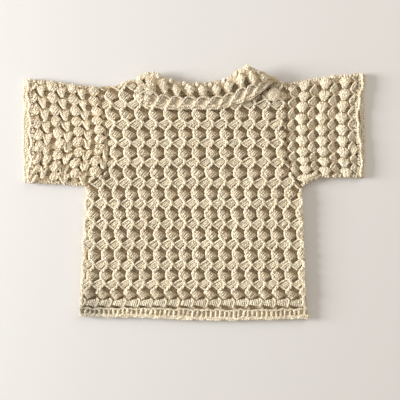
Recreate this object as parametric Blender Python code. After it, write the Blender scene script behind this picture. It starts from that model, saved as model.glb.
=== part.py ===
"""A child's short-sleeved crochet top with a folded collar band, laid flat on its back.

X runs along the sleeves, Y from the hem to the collar, Z up from the surface that it lies on.
The origin is the middle of the garment's box, on that surface. Sizes in the tables are in
millimetres, and MM turns them into metres where a mesh is made.

Every flat piece is a wall: a flat underside, and an upper side whose points stand up where the
stitches do. The open-work stitch is a lattice of one repeat. Each repeat's points and cut gaps
come from a short table in fractions of the repeat, and a function of the garment turns these
into places on the panel.
"""

import bpy
import numpy as np
from mathutils import Vector
from mathutils.geometry import delaunay_2d_cdt

MM = 0.001

# --- Driving sizes, mm -------------------------------------------------------------------
WALL = 2.8  # cloth between the stitches
SEAM_GAP = 0.3  # between two pieces that are sewn together, or that lie on each other
EDGE = 1.5  # height of a raised panel's upper side at its rim, above its underside
BLOCK = 3.0  # how far a block of stitches stands above the wall

BACK_BASE = 0.0
FRONT_BASE = BACK_BASE + WALL + SEAM_GAP
FALL_BASE = FRONT_BASE + WALL + SEAM_GAP

RIM_CLEAR = 2.4  # a raised point keeps this far from the rim
GAP_CLEAR = 2.6  # a cut gap keeps this far from the rim
POINT_CLEAR = 0.4  # a raised point keeps this far from a gap
CREASE_CLEAR = 1.0  # and this far from a crease
LONGEST_EDGE = 14.0  # of a raised panel's rim
LEAST_AREA = 0.005  # mm2, of a triangle
SAME_POINT = 0.5  # ends of two lines that are closer than this meet

# --- Outlines, mm, from the centre of the garment ----------------------------------------
# Each line is shared by the two pieces that meet there.
SIDE_LEFT = [(-146, -145.5), (-144, -110), (-142, -68), (-140, -31), (-138, 9)]
ARMHOLE_LEFT = [(-138, 9), (-121, 20), (-111, 33), (-109, 55), (-113, 87), (-118, 115)]
ARMHOLE_LEFT += [(-121, 136.5)]
SHOULDER_LEFT = [(-121, 136.5), (-101, 137), (-90, 141), (-83, 145)]
NECK_FRONT = [(-83, 145), (-74, 138), (-66, 129), (-37, 125), (1, 124), (39, 125)]
NECK_FRONT += [(64, 127), (86, 132), (98, 137), (107, 143)]
NECK_BACK = [(-83, 145), (-66, 131), (-37, 127), (1, 126), (39, 127), (66, 130)]
NECK_BACK += [(88, 136), (107, 143)]
SHOULDER_RIGHT = [(107, 143), (119, 141.5)]
ARMHOLE_RIGHT = [(119, 141.5), (118, 119), (117, 81), (118, 45), (124, 25), (137, 8)]
SIDE_RIGHT = [(137, 8), (139, -44), (141, -86), (142, -129), (144, -146)]
HEM_SEAM = [(144, -146), (109, -147), (45, -148), (-12, -147), (-56, -146), (-94, -145.5)]
HEM_SEAM += [(-146, -145.5)]
HEM_RIM = [(-146, -156), (-113, -157), (-82, -157), (-56, -158), (-12, -160), (45, -161)]
HEM_RIM += [(109, -160), (138, -158), (146, -159)]

SLEEVE_LEFT_TOP = [(-121, 136.5), (-151, 139), (-170, 142), (-190, 145), (-208, 146.5)]
SLEEVE_LEFT_UNDER = [(-208, 13), (-183, 12), (-138, 9)]
SLEEVE_RIGHT_TOP = [(119, 141.5), (130, 143), (146, 147), (161, 148), (176, 151), (191, 152)]
SLEEVE_RIGHT_TOP += [(208, 153.5)]
SLEEVE_RIGHT_UNDER = [(137, 8), (150, 15), (160, 21), (169, 20), (189, 20), (207, 20)]
CUFF_SEAM_LEFT = [(-208, 146.5), (-207, 130), (-206, 110), (-204, 85), (-203, 60), (-204, 40)]
CUFF_SEAM_LEFT += [(-208, 13)]
CUFF_SEAM_RIGHT = [(207, 20), (208, 45), (207, 65), (204, 85), (203, 105), (206, 127)]
CUFF_SEAM_RIGHT += [(208, 153.5)]
CUFF_FRONT_LEFT = [(-214, 146), (-213, 130), (-212, 110), (-210, 85), (-209, 60), (-210, 36)]
CUFF_FRONT_LEFT += [(-214, 14)]
CUFF_BACK_LEFT = [(-217, 146), (-218, 113), (-218, 81), (-218, 49), (-217, 14)]
CUFF_FRONT_RIGHT = [(213, 20), (214, 45), (212, 68), (209, 86), (209, 104), (213, 127)]
CUFF_FRONT_RIGHT += [(216, 153)]
CUFF_BACK_RIGHT = [(217, 20), (218, 45), (218, 100), (217, 125), (218, 152)]

COLLAR_BACK_RIM = [(108, 145), (104, 148), (96, 151), (82, 151), (64, 145), (39, 138)]
COLLAR_BACK_RIM += [(1, 137), (-37, 139), (-63, 142), (-82, 146)]

# --- The folded collar: one row for each section along X ---------------------------------
# x, fold: y of the upper fold, free: y of the edge that lies on the front, lift: height that
# the fold stands above its flat place, tip: the same for the free edge.
COLLAR = [
    # x, fold, free, lift, tip
    (-72, 148, 124, 0.0, 0.0),
    (-64, 153, 113, 1.5, 0.0),
    (-52, 155, 110, 3.0, 0.0),
    (-43, 150, 109, 2.0, 0.0),
    (-33, 146, 108, 0.5, 0.0),
    (-12, 141.5, 108, 0.0, 0.0),
    (10, 141, 108, 0.0, 0.0),
    (30, 143, 108, 1.0, 0.0),
    (44, 147, 111, 4.0, 0.5),
    (55, 156, 114, 9.0, 1.5),
    (64, 161, 117, 13.0, 3.0),
    (71, 159, 120, 12.0, 4.5),
    (78, 155, 124, 10.0, 5.5),
    (86, 153.5, 130, 7.5, 5.5),
    (94, 150, 136.5, 4.0, 3.5),
    (100, 147.5, 140.5, 1.5, 1.0),
]
COLLAR_STEP = 4.4  # between two sections
COLLAR_REPEAT = 4  # sections in one repeat of its stitch
COLLAR_LEAST_OPEN = 20.0  # the leaf has no open strip where it is narrower than this
COLLAR_HIDES = 4.0  # the front is plain from this far outside the collar's free edge
COLLAR_CREASE = 2.6  # and level with its wall on a line this far outside that edge

# --- The open-work stitch of the body -----------------------------------------------------
# One row for each row of gaps, from the shoulders down: y, x of the middle of the row, and the
# width of one repeat to the left and to the right of it.
BODY_ROWS = [
    # y, middle, left pitch, right pitch
    (131.5, 0.5, 18.5, 17.8),
    (107, 1.3, 18.5, 17.9),
    (82, 1.7, 17.8, 17.3),
    (58.5, 0.7, 17.2, 17.8),
    (33.5, 0.1, 17.5, 18.0),
    (7.0, -0.3, 16.8, 17.0),
    (-19, 0.0, 16.5, 16.5),
    (-45, 1.2, 16.5, 16.5),
    (-71, 1.3, 16.5, 16.6),
    (-97, 0.6, 16.6, 16.8),
    (-121, -0.6, 17.0, 17.1),
]
BODY_COLUMNS = 18

# Across in repeats to the right, along in repeats downwards, both from the middle of the gap;
# up in mm above the wall.
BODY_POINTS = {
    # name: (across, along, up)
    "block, top": (-0.25, 0.23, BLOCK),
    "block, low": (0.05, 0.38, 2.2),
    "cord at the block": (-0.65, 0.25, 2.2),
    "cord going down": (-0.45, 0.50, 2.0),
    "cord at the fan": (-0.10, 0.74, 2.4),
    "cord coming back": (-0.52, 0.00, 2.0),
    "small gap": (0.17, 0.62, -0.8),
    "fan": (0.46, 0.79, 1.9),
    "point of the fan": (0.10, 0.84, 0.9),
}
BODY_GAP = [(-0.24, -0.165), (0.30, 0.015), (0.28, 0.205), (-0.33, -0.055)]
GAP_RIM = 0.4  # a gap's corners stand this far above the wall

# --- The open-work stitch of the sleeves, whose rows run along Y --------------------------
# One row for each column of blocks: x of the column at the height LEAN_FROM, y of its first
# neck between two blocks, and the pitch from neck to neck.
LEFT_COLUMNS = [
    # x, first neck, pitch
    (-200.5, 133.5, 15.4),
    (-179, 129.5, 15.0),
    (-153, 124.5, 14.2),
    (-128, 122.5, 13.4),
]
RIGHT_COLUMNS = [
    (136, 135, 14.1),
    (162, 134.5, 14.1),
    (188, 135, 14.1),
]
LEAN_FROM = 110.0
LEFT_LEAN = -0.17  # x that a column of the left sleeve gains for each mm of y
LEFT_LEAN_TO = 55.0  # below this height the columns run straight
SLEEVE_REPEATS = 10

# Across in mm from the column, along in pitches downwards from the neck, up in mm.
SLEEVE_POINTS = {
    "block, top": (0.0, -0.50, BLOCK),
    "block, left": (-4.6, -0.42, 1.6),
    "block, right": (4.6, -0.58, 1.6),
    "neck": (0.0, 0.00, 1.2),
    "fan": (12.8, -0.04, 1.9),
    "between two fans": (12.8, -0.54, 0.9),
}
SLEEVE_GAP_AT = 6.2  # from the column to the middle of the gap on each side of a neck
SLEEVE_GAP_HALF = (3.1, 2.9)  # half of the gap's two diagonals

# --- The ladder stitch of the hem and the chain of the cuffs ------------------------------
HEM_POST_PITCH = 5.5
HEM_POST = 1.6
HEM_SLOT = -0.6
HEM_POST_ENDS = (4.9, 8.8)  # above the rim
CHAIN_PITCH = 7.5
CHAIN_UP = 1.6
CHAIN_INSIDE = 3.0  # from the cuff's rim to the middle of its chain

# --- Soft folds of the cloth: a ridge between two points ----------------------------------
FOLDS = [
    # x1, y1, x2, y2, up, half width
    (-134, 13, -115, 30, 1.8, 7.0),
    (134, 11, 121, 30, 1.4, 6.0),
    (-126, 20, -124, 60, 0.9, 9.0),
    (60, 60, 100, 20, 0.5, 14.0),
    (-90, 80, -60, 30, 0.4, 14.0),
]

COTTON = {
    # name: colour, roughness
    "cotton": ((0.80, 0.71, 0.53, 1.0), 0.85),
    "cotton, shaded": ((0.66, 0.56, 0.40, 1.0), 0.88),
    "cotton, edging": ((0.86, 0.79, 0.62, 1.0), 0.82),
}


def clear_scene():
    for obj in list(bpy.data.objects):
        bpy.data.objects.remove(obj, do_unlink=True)


def cotton(name):
    colour, roughness = COTTON[name]
    made = bpy.data.materials.get(name) or bpy.data.materials.new(name)
    made.use_nodes = True
    made.diffuse_color = colour
    shader = made.node_tree.nodes["Principled BSDF"]
    shader.inputs["Base Color"].default_value = colour
    shader.inputs["Roughness"].default_value = roughness
    shader.inputs["Metallic"].default_value = 0.0
    return made


def add_object(name, points, faces, material):
    """A mesh object from points in millimetres."""
    mesh = bpy.data.meshes.new(name)
    mesh.from_pydata([tuple(p) for p in np.asarray(points, float) * MM], [], faces)
    mesh.validate()
    mesh.materials.append(cotton(material))
    obj = bpy.data.objects.new(name, mesh)
    bpy.context.scene.collection.objects.link(obj)
    return obj


# --- Flat geometry ------------------------------------------------------------------------
def joined(*lines):
    """The closed outline through these lines, each given in its direction of travel."""
    outline = []
    for line in lines:
        for point in line:
            if not outline or np.hypot(*np.subtract(point, outline[-1])) > SAME_POINT:
                outline.append(point)
    if np.hypot(*np.subtract(outline[0], outline[-1])) < SAME_POINT:
        outline.pop()
    return np.array(outline, float)


def signed_area(outline):
    x, y = outline.T
    return 0.5 * np.sum(x * np.roll(y, -1) - np.roll(x, -1) * y)


def divided(outline, longest):
    """The outline with its long edges divided."""
    points = []
    for a, b in zip(outline, np.roll(outline, -1, axis=0)):
        parts = max(1, int(np.ceil(np.hypot(*(b - a)) / longest)))
        points += [a + (b - a) * i / parts for i in range(parts)]
    return np.array(points)


def inset(outline, by):
    """The outline, counter-clockwise, with every edge moved inwards by this much."""
    before, after = np.roll(outline, 1, axis=0), np.roll(outline, -1, axis=0)

    def inward(edge):
        normal = np.stack([-edge[:, 1], edge[:, 0]], axis=1)
        return normal / np.linalg.norm(normal, axis=1)[:, None]

    n1, n2 = inward(outline - before), inward(after - outline)
    mitre = n1 + n2
    return outline + mitre * (2 * by / np.sum(mitre * mitre, axis=1))[:, None]


def inside(points, outline):
    """Which points lie inside the outline, by the crossings of a line to the right."""
    x, y = points[:, 0][:, None], points[:, 1][:, None]
    a, b = outline, np.roll(outline, -1, axis=0)
    spans = (a[:, 1] > y) != (b[:, 1] > y)
    rise = np.where(b[:, 1] == a[:, 1], 1.0, b[:, 1] - a[:, 1])
    cross = a[:, 0] + (y - a[:, 1]) / rise * (b[:, 0] - a[:, 0])
    return (spans & (x < cross)).sum(axis=1) % 2 == 1


def from_rim(points, outline):
    """Distance of each point to the nearest edge of the outline."""
    a, edge = outline, np.roll(outline, -1, axis=0) - outline
    to = points[:, None] - a[None]
    share = np.clip((to * edge).sum(-1) / (edge * edge).sum(-1), 0, 1)
    return np.linalg.norm(to - share[..., None] * edge, axis=-1).min(axis=1)


def fold_height(points):
    """How far the soft folds raise the cloth at these points: a rounded ridge along each line."""
    up = np.zeros(len(points))
    for x1, y1, x2, y2, height, half in FOLDS:
        a, edge = np.array([x1, y1]), np.array([x2 - x1, y2 - y1])
        to = points - a
        share = np.clip(to @ edge / (edge @ edge), 0, 1)
        away = np.linalg.norm(to - share[:, None] * edge, axis=1) / half
        up += height * np.exp(-away * away * 2)
    return up


def triangles(points, loops, crease=0):
    """Triangles over the first loop and round the others, which are gaps.

    The last points, as many as crease says, are an open line that no triangle crosses.
    """
    edges = [(len(points) - i - 1, len(points) - i - 2) for i in range(crease - 1)]
    start = 0
    for loop in loops:
        count = len(loop)
        edges += [(start + i, start + (i + 1) % count) for i in range(count)]
        start += count
    found = delaunay_2d_cdt([Vector(p) for p in points], edges, [], 0, 1e-5)
    made, sources = found[0], found[3]
    if len(made) != len(points):
        raise ValueError("two points of a panel meet, or a gap crosses another line")
    index = [source[0] for source in sources]
    faces = np.array([[index[i] for i in face] for face in found[2]])
    a, b, c = (points[faces[:, i]] for i in range(3))
    area = 0.5 * ((b - a)[:, 0] * (c - a)[:, 1] - (b - a)[:, 1] * (c - a)[:, 0])
    centres = (a + b + c) / 3
    # three points of one straight edge also make a triangle, with no area
    keep = inside(centres, loops[0]) & (area > LEAST_AREA)
    for gap in loops[1:]:
        keep &= ~inside(centres, gap)
    return faces[keep]


def plain_wall(name, outline, base):
    """A panel of the back, which lies under the front: flat, and uncut."""
    return wall(name, outline, base, [], [], "cotton, shaded", edge=WALL)


def wall(name, outline, base, raised, gaps, material, edge=EDGE, folds=False, crease=()):
    """A panel with a flat underside at base, a raised upper side, and gaps cut through it.

    raised holds rows of x, y and the height above the wall; gaps holds the corners of each gap.
    edge is the height of the rim. crease is an open line along which the upper side is level
    with the wall.
    """
    if signed_area(outline) < 0:
        outline = outline[::-1]
    rim = inset(outline, SEAM_GAP / 2)
    gaps = [gap if signed_area(gap) < 0 else gap[::-1] for gap in gaps]
    gaps = [g for g in gaps if inside(g, rim).all() and from_rim(g, rim).min() > GAP_CLEAR]
    raised = np.asarray(raised, float).reshape(-1, 3)
    if len(raised):
        keep = inside(raised[:, :2], rim) & (from_rim(raised[:, :2], rim) > RIM_CLEAR)
        for gap in gaps:
            keep &= ~inside(raised[:, :2], gap)
            keep &= from_rim(raised[:, :2], gap) > POINT_CLEAR
        raised = raised[keep]
    if len(crease):
        away = np.linalg.norm(raised[:, None, :2] - crease, axis=2).min(axis=1)
        level = np.column_stack([crease, np.zeros(len(crease))])
        raised = np.concatenate([raised[away > CREASE_CLEAR], level])
    loops = [rim] + gaps
    edge_points = np.concatenate(loops)
    count = len(edge_points)
    upper = np.concatenate([edge_points, raised[:, :2]])
    heights = np.full(len(upper), WALL)
    heights[: len(rim)] = edge
    heights[len(rim) : count] += GAP_RIM
    heights[count:] += raised[:, 2]
    if folds:
        away = np.clip(from_rim(upper, rim) / RIM_CLEAR, 0, 1)
        heights += fold_height(upper) * away
    top = np.column_stack([upper, base + heights])
    under = np.column_stack([edge_points, np.full(count, base)])
    faces = [tuple(f) for f in triangles(upper, loops, len(crease))]
    faces += [tuple(len(upper) + i for i in f[::-1]) for f in triangles(edge_points, loops)]
    start = 0
    for loop in loops:
        for i in range(len(loop)):
            a, b = start + i, start + (i + 1) % len(loop)
            faces.append((len(upper) + a, len(upper) + b, b, a))
        start += len(loop)
    return add_object(name, np.concatenate([top, under]), faces, material)


# --- The stitch lattices ------------------------------------------------------------------
def body_place(column, row, across, along):
    """Where a point of the body's repeat lies. Column and row count whole repeats."""
    y, middle, left, right = np.array(BODY_ROWS, float).T
    at = np.asarray(row + along, float)
    rows = np.arange(len(y))

    def read(values):
        inner = np.interp(at, rows, values)
        past = np.clip(at - rows[-1], 0, None) * (values[-1] - values[-2])
        short = np.clip(at, None, 0) * (values[1] - values[0])
        return inner + past + short

    steps = column - (BODY_COLUMNS - 1) / 2 + across
    pitch = np.where(steps < 0, read(left), read(right))
    return np.stack([read(middle) + steps * pitch, read(y)], axis=-1)


def body_stitch(hidden):
    """Raised points and gaps of the body. hidden(points) tells what lies under the collar."""
    raised, gaps = [], []
    for row in range(-1, len(BODY_ROWS)):
        for column in range(BODY_COLUMNS):
            for across, along, up in BODY_POINTS.values():
                x, y = body_place(column, row, across, along)
                if not hidden(x, y):
                    raised.append((x, y, up))
            gap = np.array([body_place(column, row, a, b) for a, b in BODY_GAP])
            if row >= 0 and not any(hidden(x, y) for x, y in gap):
                gaps.append(gap)
    return raised, gaps


def lean(y, slope, stop):
    return (np.maximum(y, stop) - LEAN_FROM) * slope


def sleeve_stitch(columns, slope=0.0, stop=-1000.0):
    """Raised points and gaps of a sleeve, whose columns may lean."""
    raised, gaps = [], []
    half_x, half_y = SLEEVE_GAP_HALF
    for x0, first, pitch in columns:
        for row in range(-1, SLEEVE_REPEATS):
            neck = first - row * pitch
            for across, along, up in SLEEVE_POINTS.values():
                y = neck - along * pitch
                raised.append((x0 + across + lean(y, slope, stop), y, up))
            if x0 == columns[0][0]:
                for name in ("fan", "between two fans"):
                    across, along, up = SLEEVE_POINTS[name]
                    y = neck - along * pitch
                    raised.append((x0 - across + lean(y, slope, stop), y, up))
            for side in (-1, 1):
                x = x0 + side * SLEEVE_GAP_AT + lean(neck, slope, stop)
                west, east = (x - half_x, neck), (x + half_x, neck)
                south, north = (x, neck - half_y), (x, neck + half_y)
                gaps.append(np.array([west, south, east, north]))
    return raised, gaps


def along_line(line, pitch, shift=0.0):
    """Points along a line at this pitch, with the unit direction at each."""
    line = np.array(line, float)
    steps = np.linalg.norm(np.diff(line, axis=0), axis=1)
    at = np.concatenate([[0], np.cumsum(steps)])
    spots = np.arange(pitch / 2 + shift, at[-1], pitch)
    points = np.stack([np.interp(spots, at, line[:, i]) for i in range(2)], axis=1)
    ahead = np.stack([np.interp(spots + 1, at, line[:, i]) for i in range(2)], axis=1)
    back = np.stack([np.interp(spots - 1, at, line[:, i]) for i in range(2)], axis=1)
    way = ahead - back
    return points, way / np.linalg.norm(way, axis=1)[:, None]


def ladder_stitch(rim):
    """Posts and slots of the hem, each with a lower and an upper point above the hem's rim."""
    raised = []
    for shift, up in ((0.0, HEM_POST), (HEM_POST_PITCH / 2, HEM_SLOT)):
        points, _ = along_line(rim, HEM_POST_PITCH, shift)
        for x, y in points:
            raised += [(x, y + end, up) for end in HEM_POST_ENDS]
    return raised


def chain_stitch(rim):
    """A raised chain just inside a cuff's rim, on the left of the rim's direction of travel."""
    points, way = along_line(rim, CHAIN_PITCH)
    side = np.stack([-way[:, 1], way[:, 0]], axis=1) * CHAIN_INSIDE
    return [(x, y, CHAIN_UP) for x, y in points + side]


# --- The folded collar --------------------------------------------------------------------
def collar_rows():
    """The table read at even steps, and where each section stands in its repeat."""
    table = np.array(COLLAR, float)
    count = int(round((table[-1, 0] - table[0, 0]) / COLLAR_STEP))
    x = np.linspace(table[0, 0], table[-1, 0], count + 1)
    return [x] + [np.interp(x, table[:, 0], table[:, i]) for i in range(1, 5)]


def collar_edge(x):
    """Where the collar's free edge lies on the front, at this x. It is far off past the ends."""
    table = np.array(COLLAR, float)
    free = np.interp(x, table[:, 0], table[:, 2])
    return np.where((x > table[0, 0] - 5) & (x < table[-1, 0] + 1), free, 1000.0)


def under_collar(x, y):
    """Whether a point of the front lies under the collar or against its edge."""
    return y > collar_edge(x) - COLLAR_HIDES


def collar_crease():
    """The level line on the front, just outside the collar's free edge."""
    x = np.arange(COLLAR[0][0] - 4.0, COLLAR[-1][0], 5.0)
    return np.stack([x, collar_edge(x) - COLLAR_CREASE], axis=1)


def collar():
    """The band as it is folded: a closed section, carried along X through its table.

    The lower leaf leaves the neck edge level with the front, turns over at the fold, and the
    upper leaf comes down over it onto the front.
    """
    x, fold, free, lift, tip = collar_rows()
    neck = np.interp(x, *np.array(NECK_FRONT, float).T) + SEAM_GAP
    neck = np.minimum(neck, fold - 6.0)
    length = fold - free
    place = np.arange(len(x)) % COLLAR_REPEAT
    block = np.array([1.0, 0.35, -0.2, 0.35])[place]  # blocks stand up between the gaps
    shell = np.array([-0.3, 0.5, 1.0, 0.5])[place]
    edge_wave = np.array([0.0, 0.6, 1.0, 0.6])[place]
    low, high = FRONT_BASE, FALL_BASE
    # y and z of the section's points, in order round it, each an array over the sections
    section = [
        (neck, low + 0 * x),
        (fold - 3.0, low + 0.85 * lift),
        (fold - 0.9, low + 1.2 + lift),
        (fold, low + WALL + lift),
        (fold - 0.8, high + 1.6 + lift),
        (fold - 0.16 * length, high + WALL + 0.6 + 2.0 * block + 0.9 * lift + 0.1 * tip),
        (fold - 0.38 * length, high + WALL + 0.4 + 0.6 * lift + 0.4 * tip),
        (fold - 0.60 * length, high + WALL + 0.2 + 0.35 * lift + 0.65 * tip),
        (fold - 0.80 * length, high + WALL + 0.2 + 2.2 * shell + 0.1 * lift + 0.9 * tip),
        (free + 0.6 - edge_wave, high + 1.9 + tip),
        (free + 1.4 - edge_wave, high + tip),
        (fold - 0.60 * length, high + 0.35 * lift + 0.65 * tip),
        (fold - 0.38 * length, high + 0.6 * lift + 0.4 * tip),
        (fold - 3.4, high + 0.2 + lift),
        (fold - 3.0, low + WALL - 0.15 + 0.95 * lift),
        (neck, low + WALL - 0.15 + 0 * x),
    ]
    gap_outer, gap_inner = 6, 11  # the points before the open strip, above and below the leaf
    sides = len(section)
    points = np.stack([np.stack([x, y + 0 * x, z], axis=-1) for y, z in section], axis=1)
    count = len(x)

    def at(i, j):
        return i * sides + j % sides

    open_at = [i for i in range(1, count - 2, COLLAR_REPEAT) if length[i] > COLLAR_LEAST_OPEN]
    faces = []
    for i in range(count - 1):
        for j in range(sides):
            if i in open_at and j in (gap_outer, gap_inner):
                continue
            faces.append((at(i, j), at(i, j + 1), at(i + 1, j + 1), at(i + 1, j)))
    for i in open_at:
        ring = ((i, 0), (i, 1), (i + 1, 1), (i + 1, 0))
        above = [at(k, gap_outer + step) for k, step in ring]
        below = [at(k, gap_inner + 1 - step) for k, step in ring]
        for k in range(4):
            n = (k + 1) % 4
            faces.append((above[k], above[n], below[n], below[k]))
    faces.append(tuple(at(0, j) for j in range(sides - 1, -1, -1)))
    faces.append(tuple(at(count - 1, j) for j in range(sides)))
    return add_object("collar_front", points.reshape(-1, 3), faces, "cotton, edging")


# --- The garment --------------------------------------------------------------------------
def body():
    sides = [SIDE_RIGHT[::-1], ARMHOLE_RIGHT[::-1], SHOULDER_RIGHT[::-1]]
    left = [SHOULDER_LEFT[::-1], ARMHOLE_LEFT[::-1], SIDE_LEFT[::-1]]
    front = joined(HEM_SEAM[::-1], *sides, NECK_FRONT[::-1], *left)
    back = joined(HEM_SEAM[::-1], *sides, NECK_BACK[::-1], *left)
    raised, gaps = body_stitch(under_collar)
    plain_wall("body_back", back, BACK_BASE)
    crease = collar_crease()
    front = divided(front, LONGEST_EDGE)
    wall("body_front", front, FRONT_BASE, raised, gaps, "cotton", folds=True, crease=crease)


def sleeves():
    left = joined(SLEEVE_LEFT_TOP, CUFF_SEAM_LEFT, SLEEVE_LEFT_UNDER, ARMHOLE_LEFT)
    right = joined(CUFF_SEAM_RIGHT, SLEEVE_RIGHT_TOP[::-1], ARMHOLE_RIGHT, SLEEVE_RIGHT_UNDER)
    stitch_left = sleeve_stitch(LEFT_COLUMNS, LEFT_LEAN, LEFT_LEAN_TO)
    stitch_right = sleeve_stitch(RIGHT_COLUMNS)
    for name, outline, stitch in (("left", left, stitch_left), ("right", right, stitch_right)):
        plain_wall(f"sleeve_{name}_back", outline, BACK_BASE)
        front = divided(outline, LONGEST_EDGE)
        wall(f"sleeve_{name}_front", front, FRONT_BASE, *stitch, "cotton", folds=True)


def hem():
    outline = joined(HEM_RIM, HEM_SEAM)
    plain_wall("hem_back", outline, BACK_BASE)
    wall("hem_front", outline, FRONT_BASE, ladder_stitch(HEM_RIM), [], "cotton, edging")


def cuffs():
    rows = (
        ("left", CUFF_SEAM_LEFT, CUFF_FRONT_LEFT, CUFF_BACK_LEFT),
        ("right", CUFF_SEAM_RIGHT, CUFF_FRONT_RIGHT, CUFF_BACK_RIGHT),
    )
    for name, seam, front, back in rows:
        plain_wall(f"cuff_{name}_back", joined(seam, back[::-1]), BACK_BASE)
        raised = chain_stitch(front)
        wall(f"cuff_{name}_front", joined(seam, front[::-1]), FRONT_BASE, raised, [], "cotton, edging")


def collar_back():
    outline = joined(NECK_BACK, COLLAR_BACK_RIM)
    plain_wall("collar_back", outline, BACK_BASE)


clear_scene()
body()
sleeves()
hem()
cuffs()
collar_back()
collar()
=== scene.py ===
"""A child's short-sleeved crochet top in cream cotton yarn, laid flat on its back.

Every panel is a thin shell of cloth with its gaps open, and on it lie the strands of yarn that the
stitches are made of: cords, blocks of posts, fans, chains and edgings. The tables hold millimetres
and MM turns them into metres. X runs along the sleeves, Y from the hem to the collar and Z up.
"""

import bpy
import numpy as np
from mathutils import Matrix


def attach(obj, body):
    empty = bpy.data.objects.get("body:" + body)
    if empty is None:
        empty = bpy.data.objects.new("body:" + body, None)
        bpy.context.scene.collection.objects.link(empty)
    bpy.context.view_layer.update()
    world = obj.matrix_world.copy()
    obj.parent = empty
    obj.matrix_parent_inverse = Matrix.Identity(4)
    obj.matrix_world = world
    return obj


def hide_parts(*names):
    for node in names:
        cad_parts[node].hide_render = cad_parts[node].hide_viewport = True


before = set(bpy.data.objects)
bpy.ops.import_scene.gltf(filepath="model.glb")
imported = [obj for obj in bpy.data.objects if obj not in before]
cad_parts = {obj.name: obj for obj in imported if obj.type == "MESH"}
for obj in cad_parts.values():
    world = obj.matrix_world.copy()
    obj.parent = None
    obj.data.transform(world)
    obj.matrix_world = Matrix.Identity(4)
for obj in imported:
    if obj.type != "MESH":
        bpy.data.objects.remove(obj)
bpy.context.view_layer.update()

MM = 0.001
RANDOM = np.random.default_rng(11)

# --- Heights of the layers, mm
WALL = 2.8
SEAM_GAP = 0.3
BACK_BASE = 0.0
FRONT_BASE = 3.1
FALL_BASE = 6.2
FRONT_TOP = FRONT_BASE + WALL

# --- Outlines of the panels, mm
SIDE_LEFT = [(-146, -145.5), (-144, -110), (-142, -68), (-140, -31), (-138, 9)]
ARMHOLE_LEFT = [(-138, 9), (-121, 20), (-111, 33), (-109, 55), (-113, 87), (-118, 115)]
ARMHOLE_LEFT += [(-121, 136.5)]
SHOULDER_LEFT = [(-121, 136.5), (-101, 137), (-90, 141), (-83, 145)]
NECK_FRONT = [(-83, 145), (-74, 138), (-66, 129), (-37, 125), (1, 124), (39, 125)]
NECK_FRONT += [(64, 127), (86, 132), (98, 137), (107, 143)]
NECK_BACK = [(-83, 145), (-66, 131), (-37, 127), (1, 126), (39, 127), (66, 130)]
NECK_BACK += [(88, 136), (107, 143)]
SHOULDER_RIGHT = [(107, 143), (119, 141.5)]
ARMHOLE_RIGHT = [(119, 141.5), (118, 119), (117, 81), (118, 45), (124, 25), (137, 8)]
SIDE_RIGHT = [(137, 8), (139, -44), (141, -86), (142, -129), (144, -146)]
HEM_SEAM = [(144, -146), (109, -147), (45, -148), (-12, -147), (-56, -146), (-94, -145.5)]
HEM_SEAM += [(-146, -145.5)]
HEM_RIM = [(-146, -156), (-113, -157), (-82, -157), (-56, -158), (-12, -160), (45, -161)]
HEM_RIM += [(109, -160), (138, -158), (146, -159)]
SLEEVE_LEFT_TOP = [(-121, 136.5), (-151, 139), (-170, 142), (-190, 145), (-208, 146.5)]
SLEEVE_LEFT_UNDER = [(-208, 13), (-183, 12), (-138, 9)]
SLEEVE_RIGHT_TOP = [(119, 141.5), (130, 143), (146, 147), (161, 148), (176, 151), (191, 152)]
SLEEVE_RIGHT_TOP += [(208, 153.5)]
SLEEVE_RIGHT_UNDER = [(137, 8), (150, 15), (160, 21), (169, 20), (189, 20), (207, 20)]
CUFF_SEAM_LEFT = [(-208, 146.5), (-207, 130), (-206, 110), (-204, 85), (-203, 60), (-204, 40)]
CUFF_SEAM_LEFT += [(-208, 13)]
CUFF_SEAM_RIGHT = [(207, 20), (208, 45), (207, 65), (204, 85), (203, 105), (206, 127)]
CUFF_SEAM_RIGHT += [(208, 153.5)]
CUFF_FRONT_LEFT = [(-214, 146), (-213, 130), (-212, 110), (-210, 85), (-209, 60), (-210, 36)]
CUFF_FRONT_LEFT += [(-214, 14)]
CUFF_BACK_LEFT = [(-217, 146), (-218, 113), (-218, 81), (-218, 49), (-217, 14)]
CUFF_FRONT_RIGHT = [(213, 20), (214, 45), (212, 68), (209, 86), (209, 104), (213, 127)]
CUFF_FRONT_RIGHT += [(216, 153)]
CUFF_BACK_RIGHT = [(217, 20), (218, 45), (218, 100), (217, 125), (218, 152)]
COLLAR_BACK_RIM = [(108, 145), (104, 148), (96, 151), (82, 151), (64, 145), (39, 138)]
COLLAR_BACK_RIM += [(1, 137), (-37, 139), (-63, 142), (-82, 146)]

# Soft folds of the cloth: a ridge between two points.
FOLDS = [
    # x1, y1, x2, y2, up, half width
    (-134, 13, -115, 30, 1.8, 7.0),
    (134, 11, 121, 30, 1.4, 6.0),
    (-126, 20, -124, 60, 0.9, 9.0),
    (60, 60, 100, 20, 0.5, 14.0),
    (98, 128, 103, 117, 1.8, 6.5),
    (-90, 80, -60, 30, 0.4, 14.0),
]

PATCHES = [
    # x, y, reach across and up, how much lighter
    (-165, 80, 50.0, 70.0, 0.06),
    (-132, -150, 24.0, 13.0, -0.31),
    (-130, -127, 13.0, 16.0, -0.22),
    # painted shade in the crease between the collar's end and the shoulder
    (98, 134, 9.0, 5.0, -0.25),
    # painted shade on the collar's right end
    (92, 146, 12.0, 10.0, -0.10),
    (160, 90, 40.0, 60.0, 0.05),
    (10, 129, 85.0, 20.0, -0.12),
    (-60, 132, 30.0, 9.0, -0.06),
    # painted shade in the left underarm fold
    (-118, 26, 16.0, 12.0, -0.08),
    (-100, 110, 26.0, 24.0, 0.07),
    (-120, 60, 30.0, 40.0, 0.05),
    (100, 110, 40.0, 30.0, -0.05),
]

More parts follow.
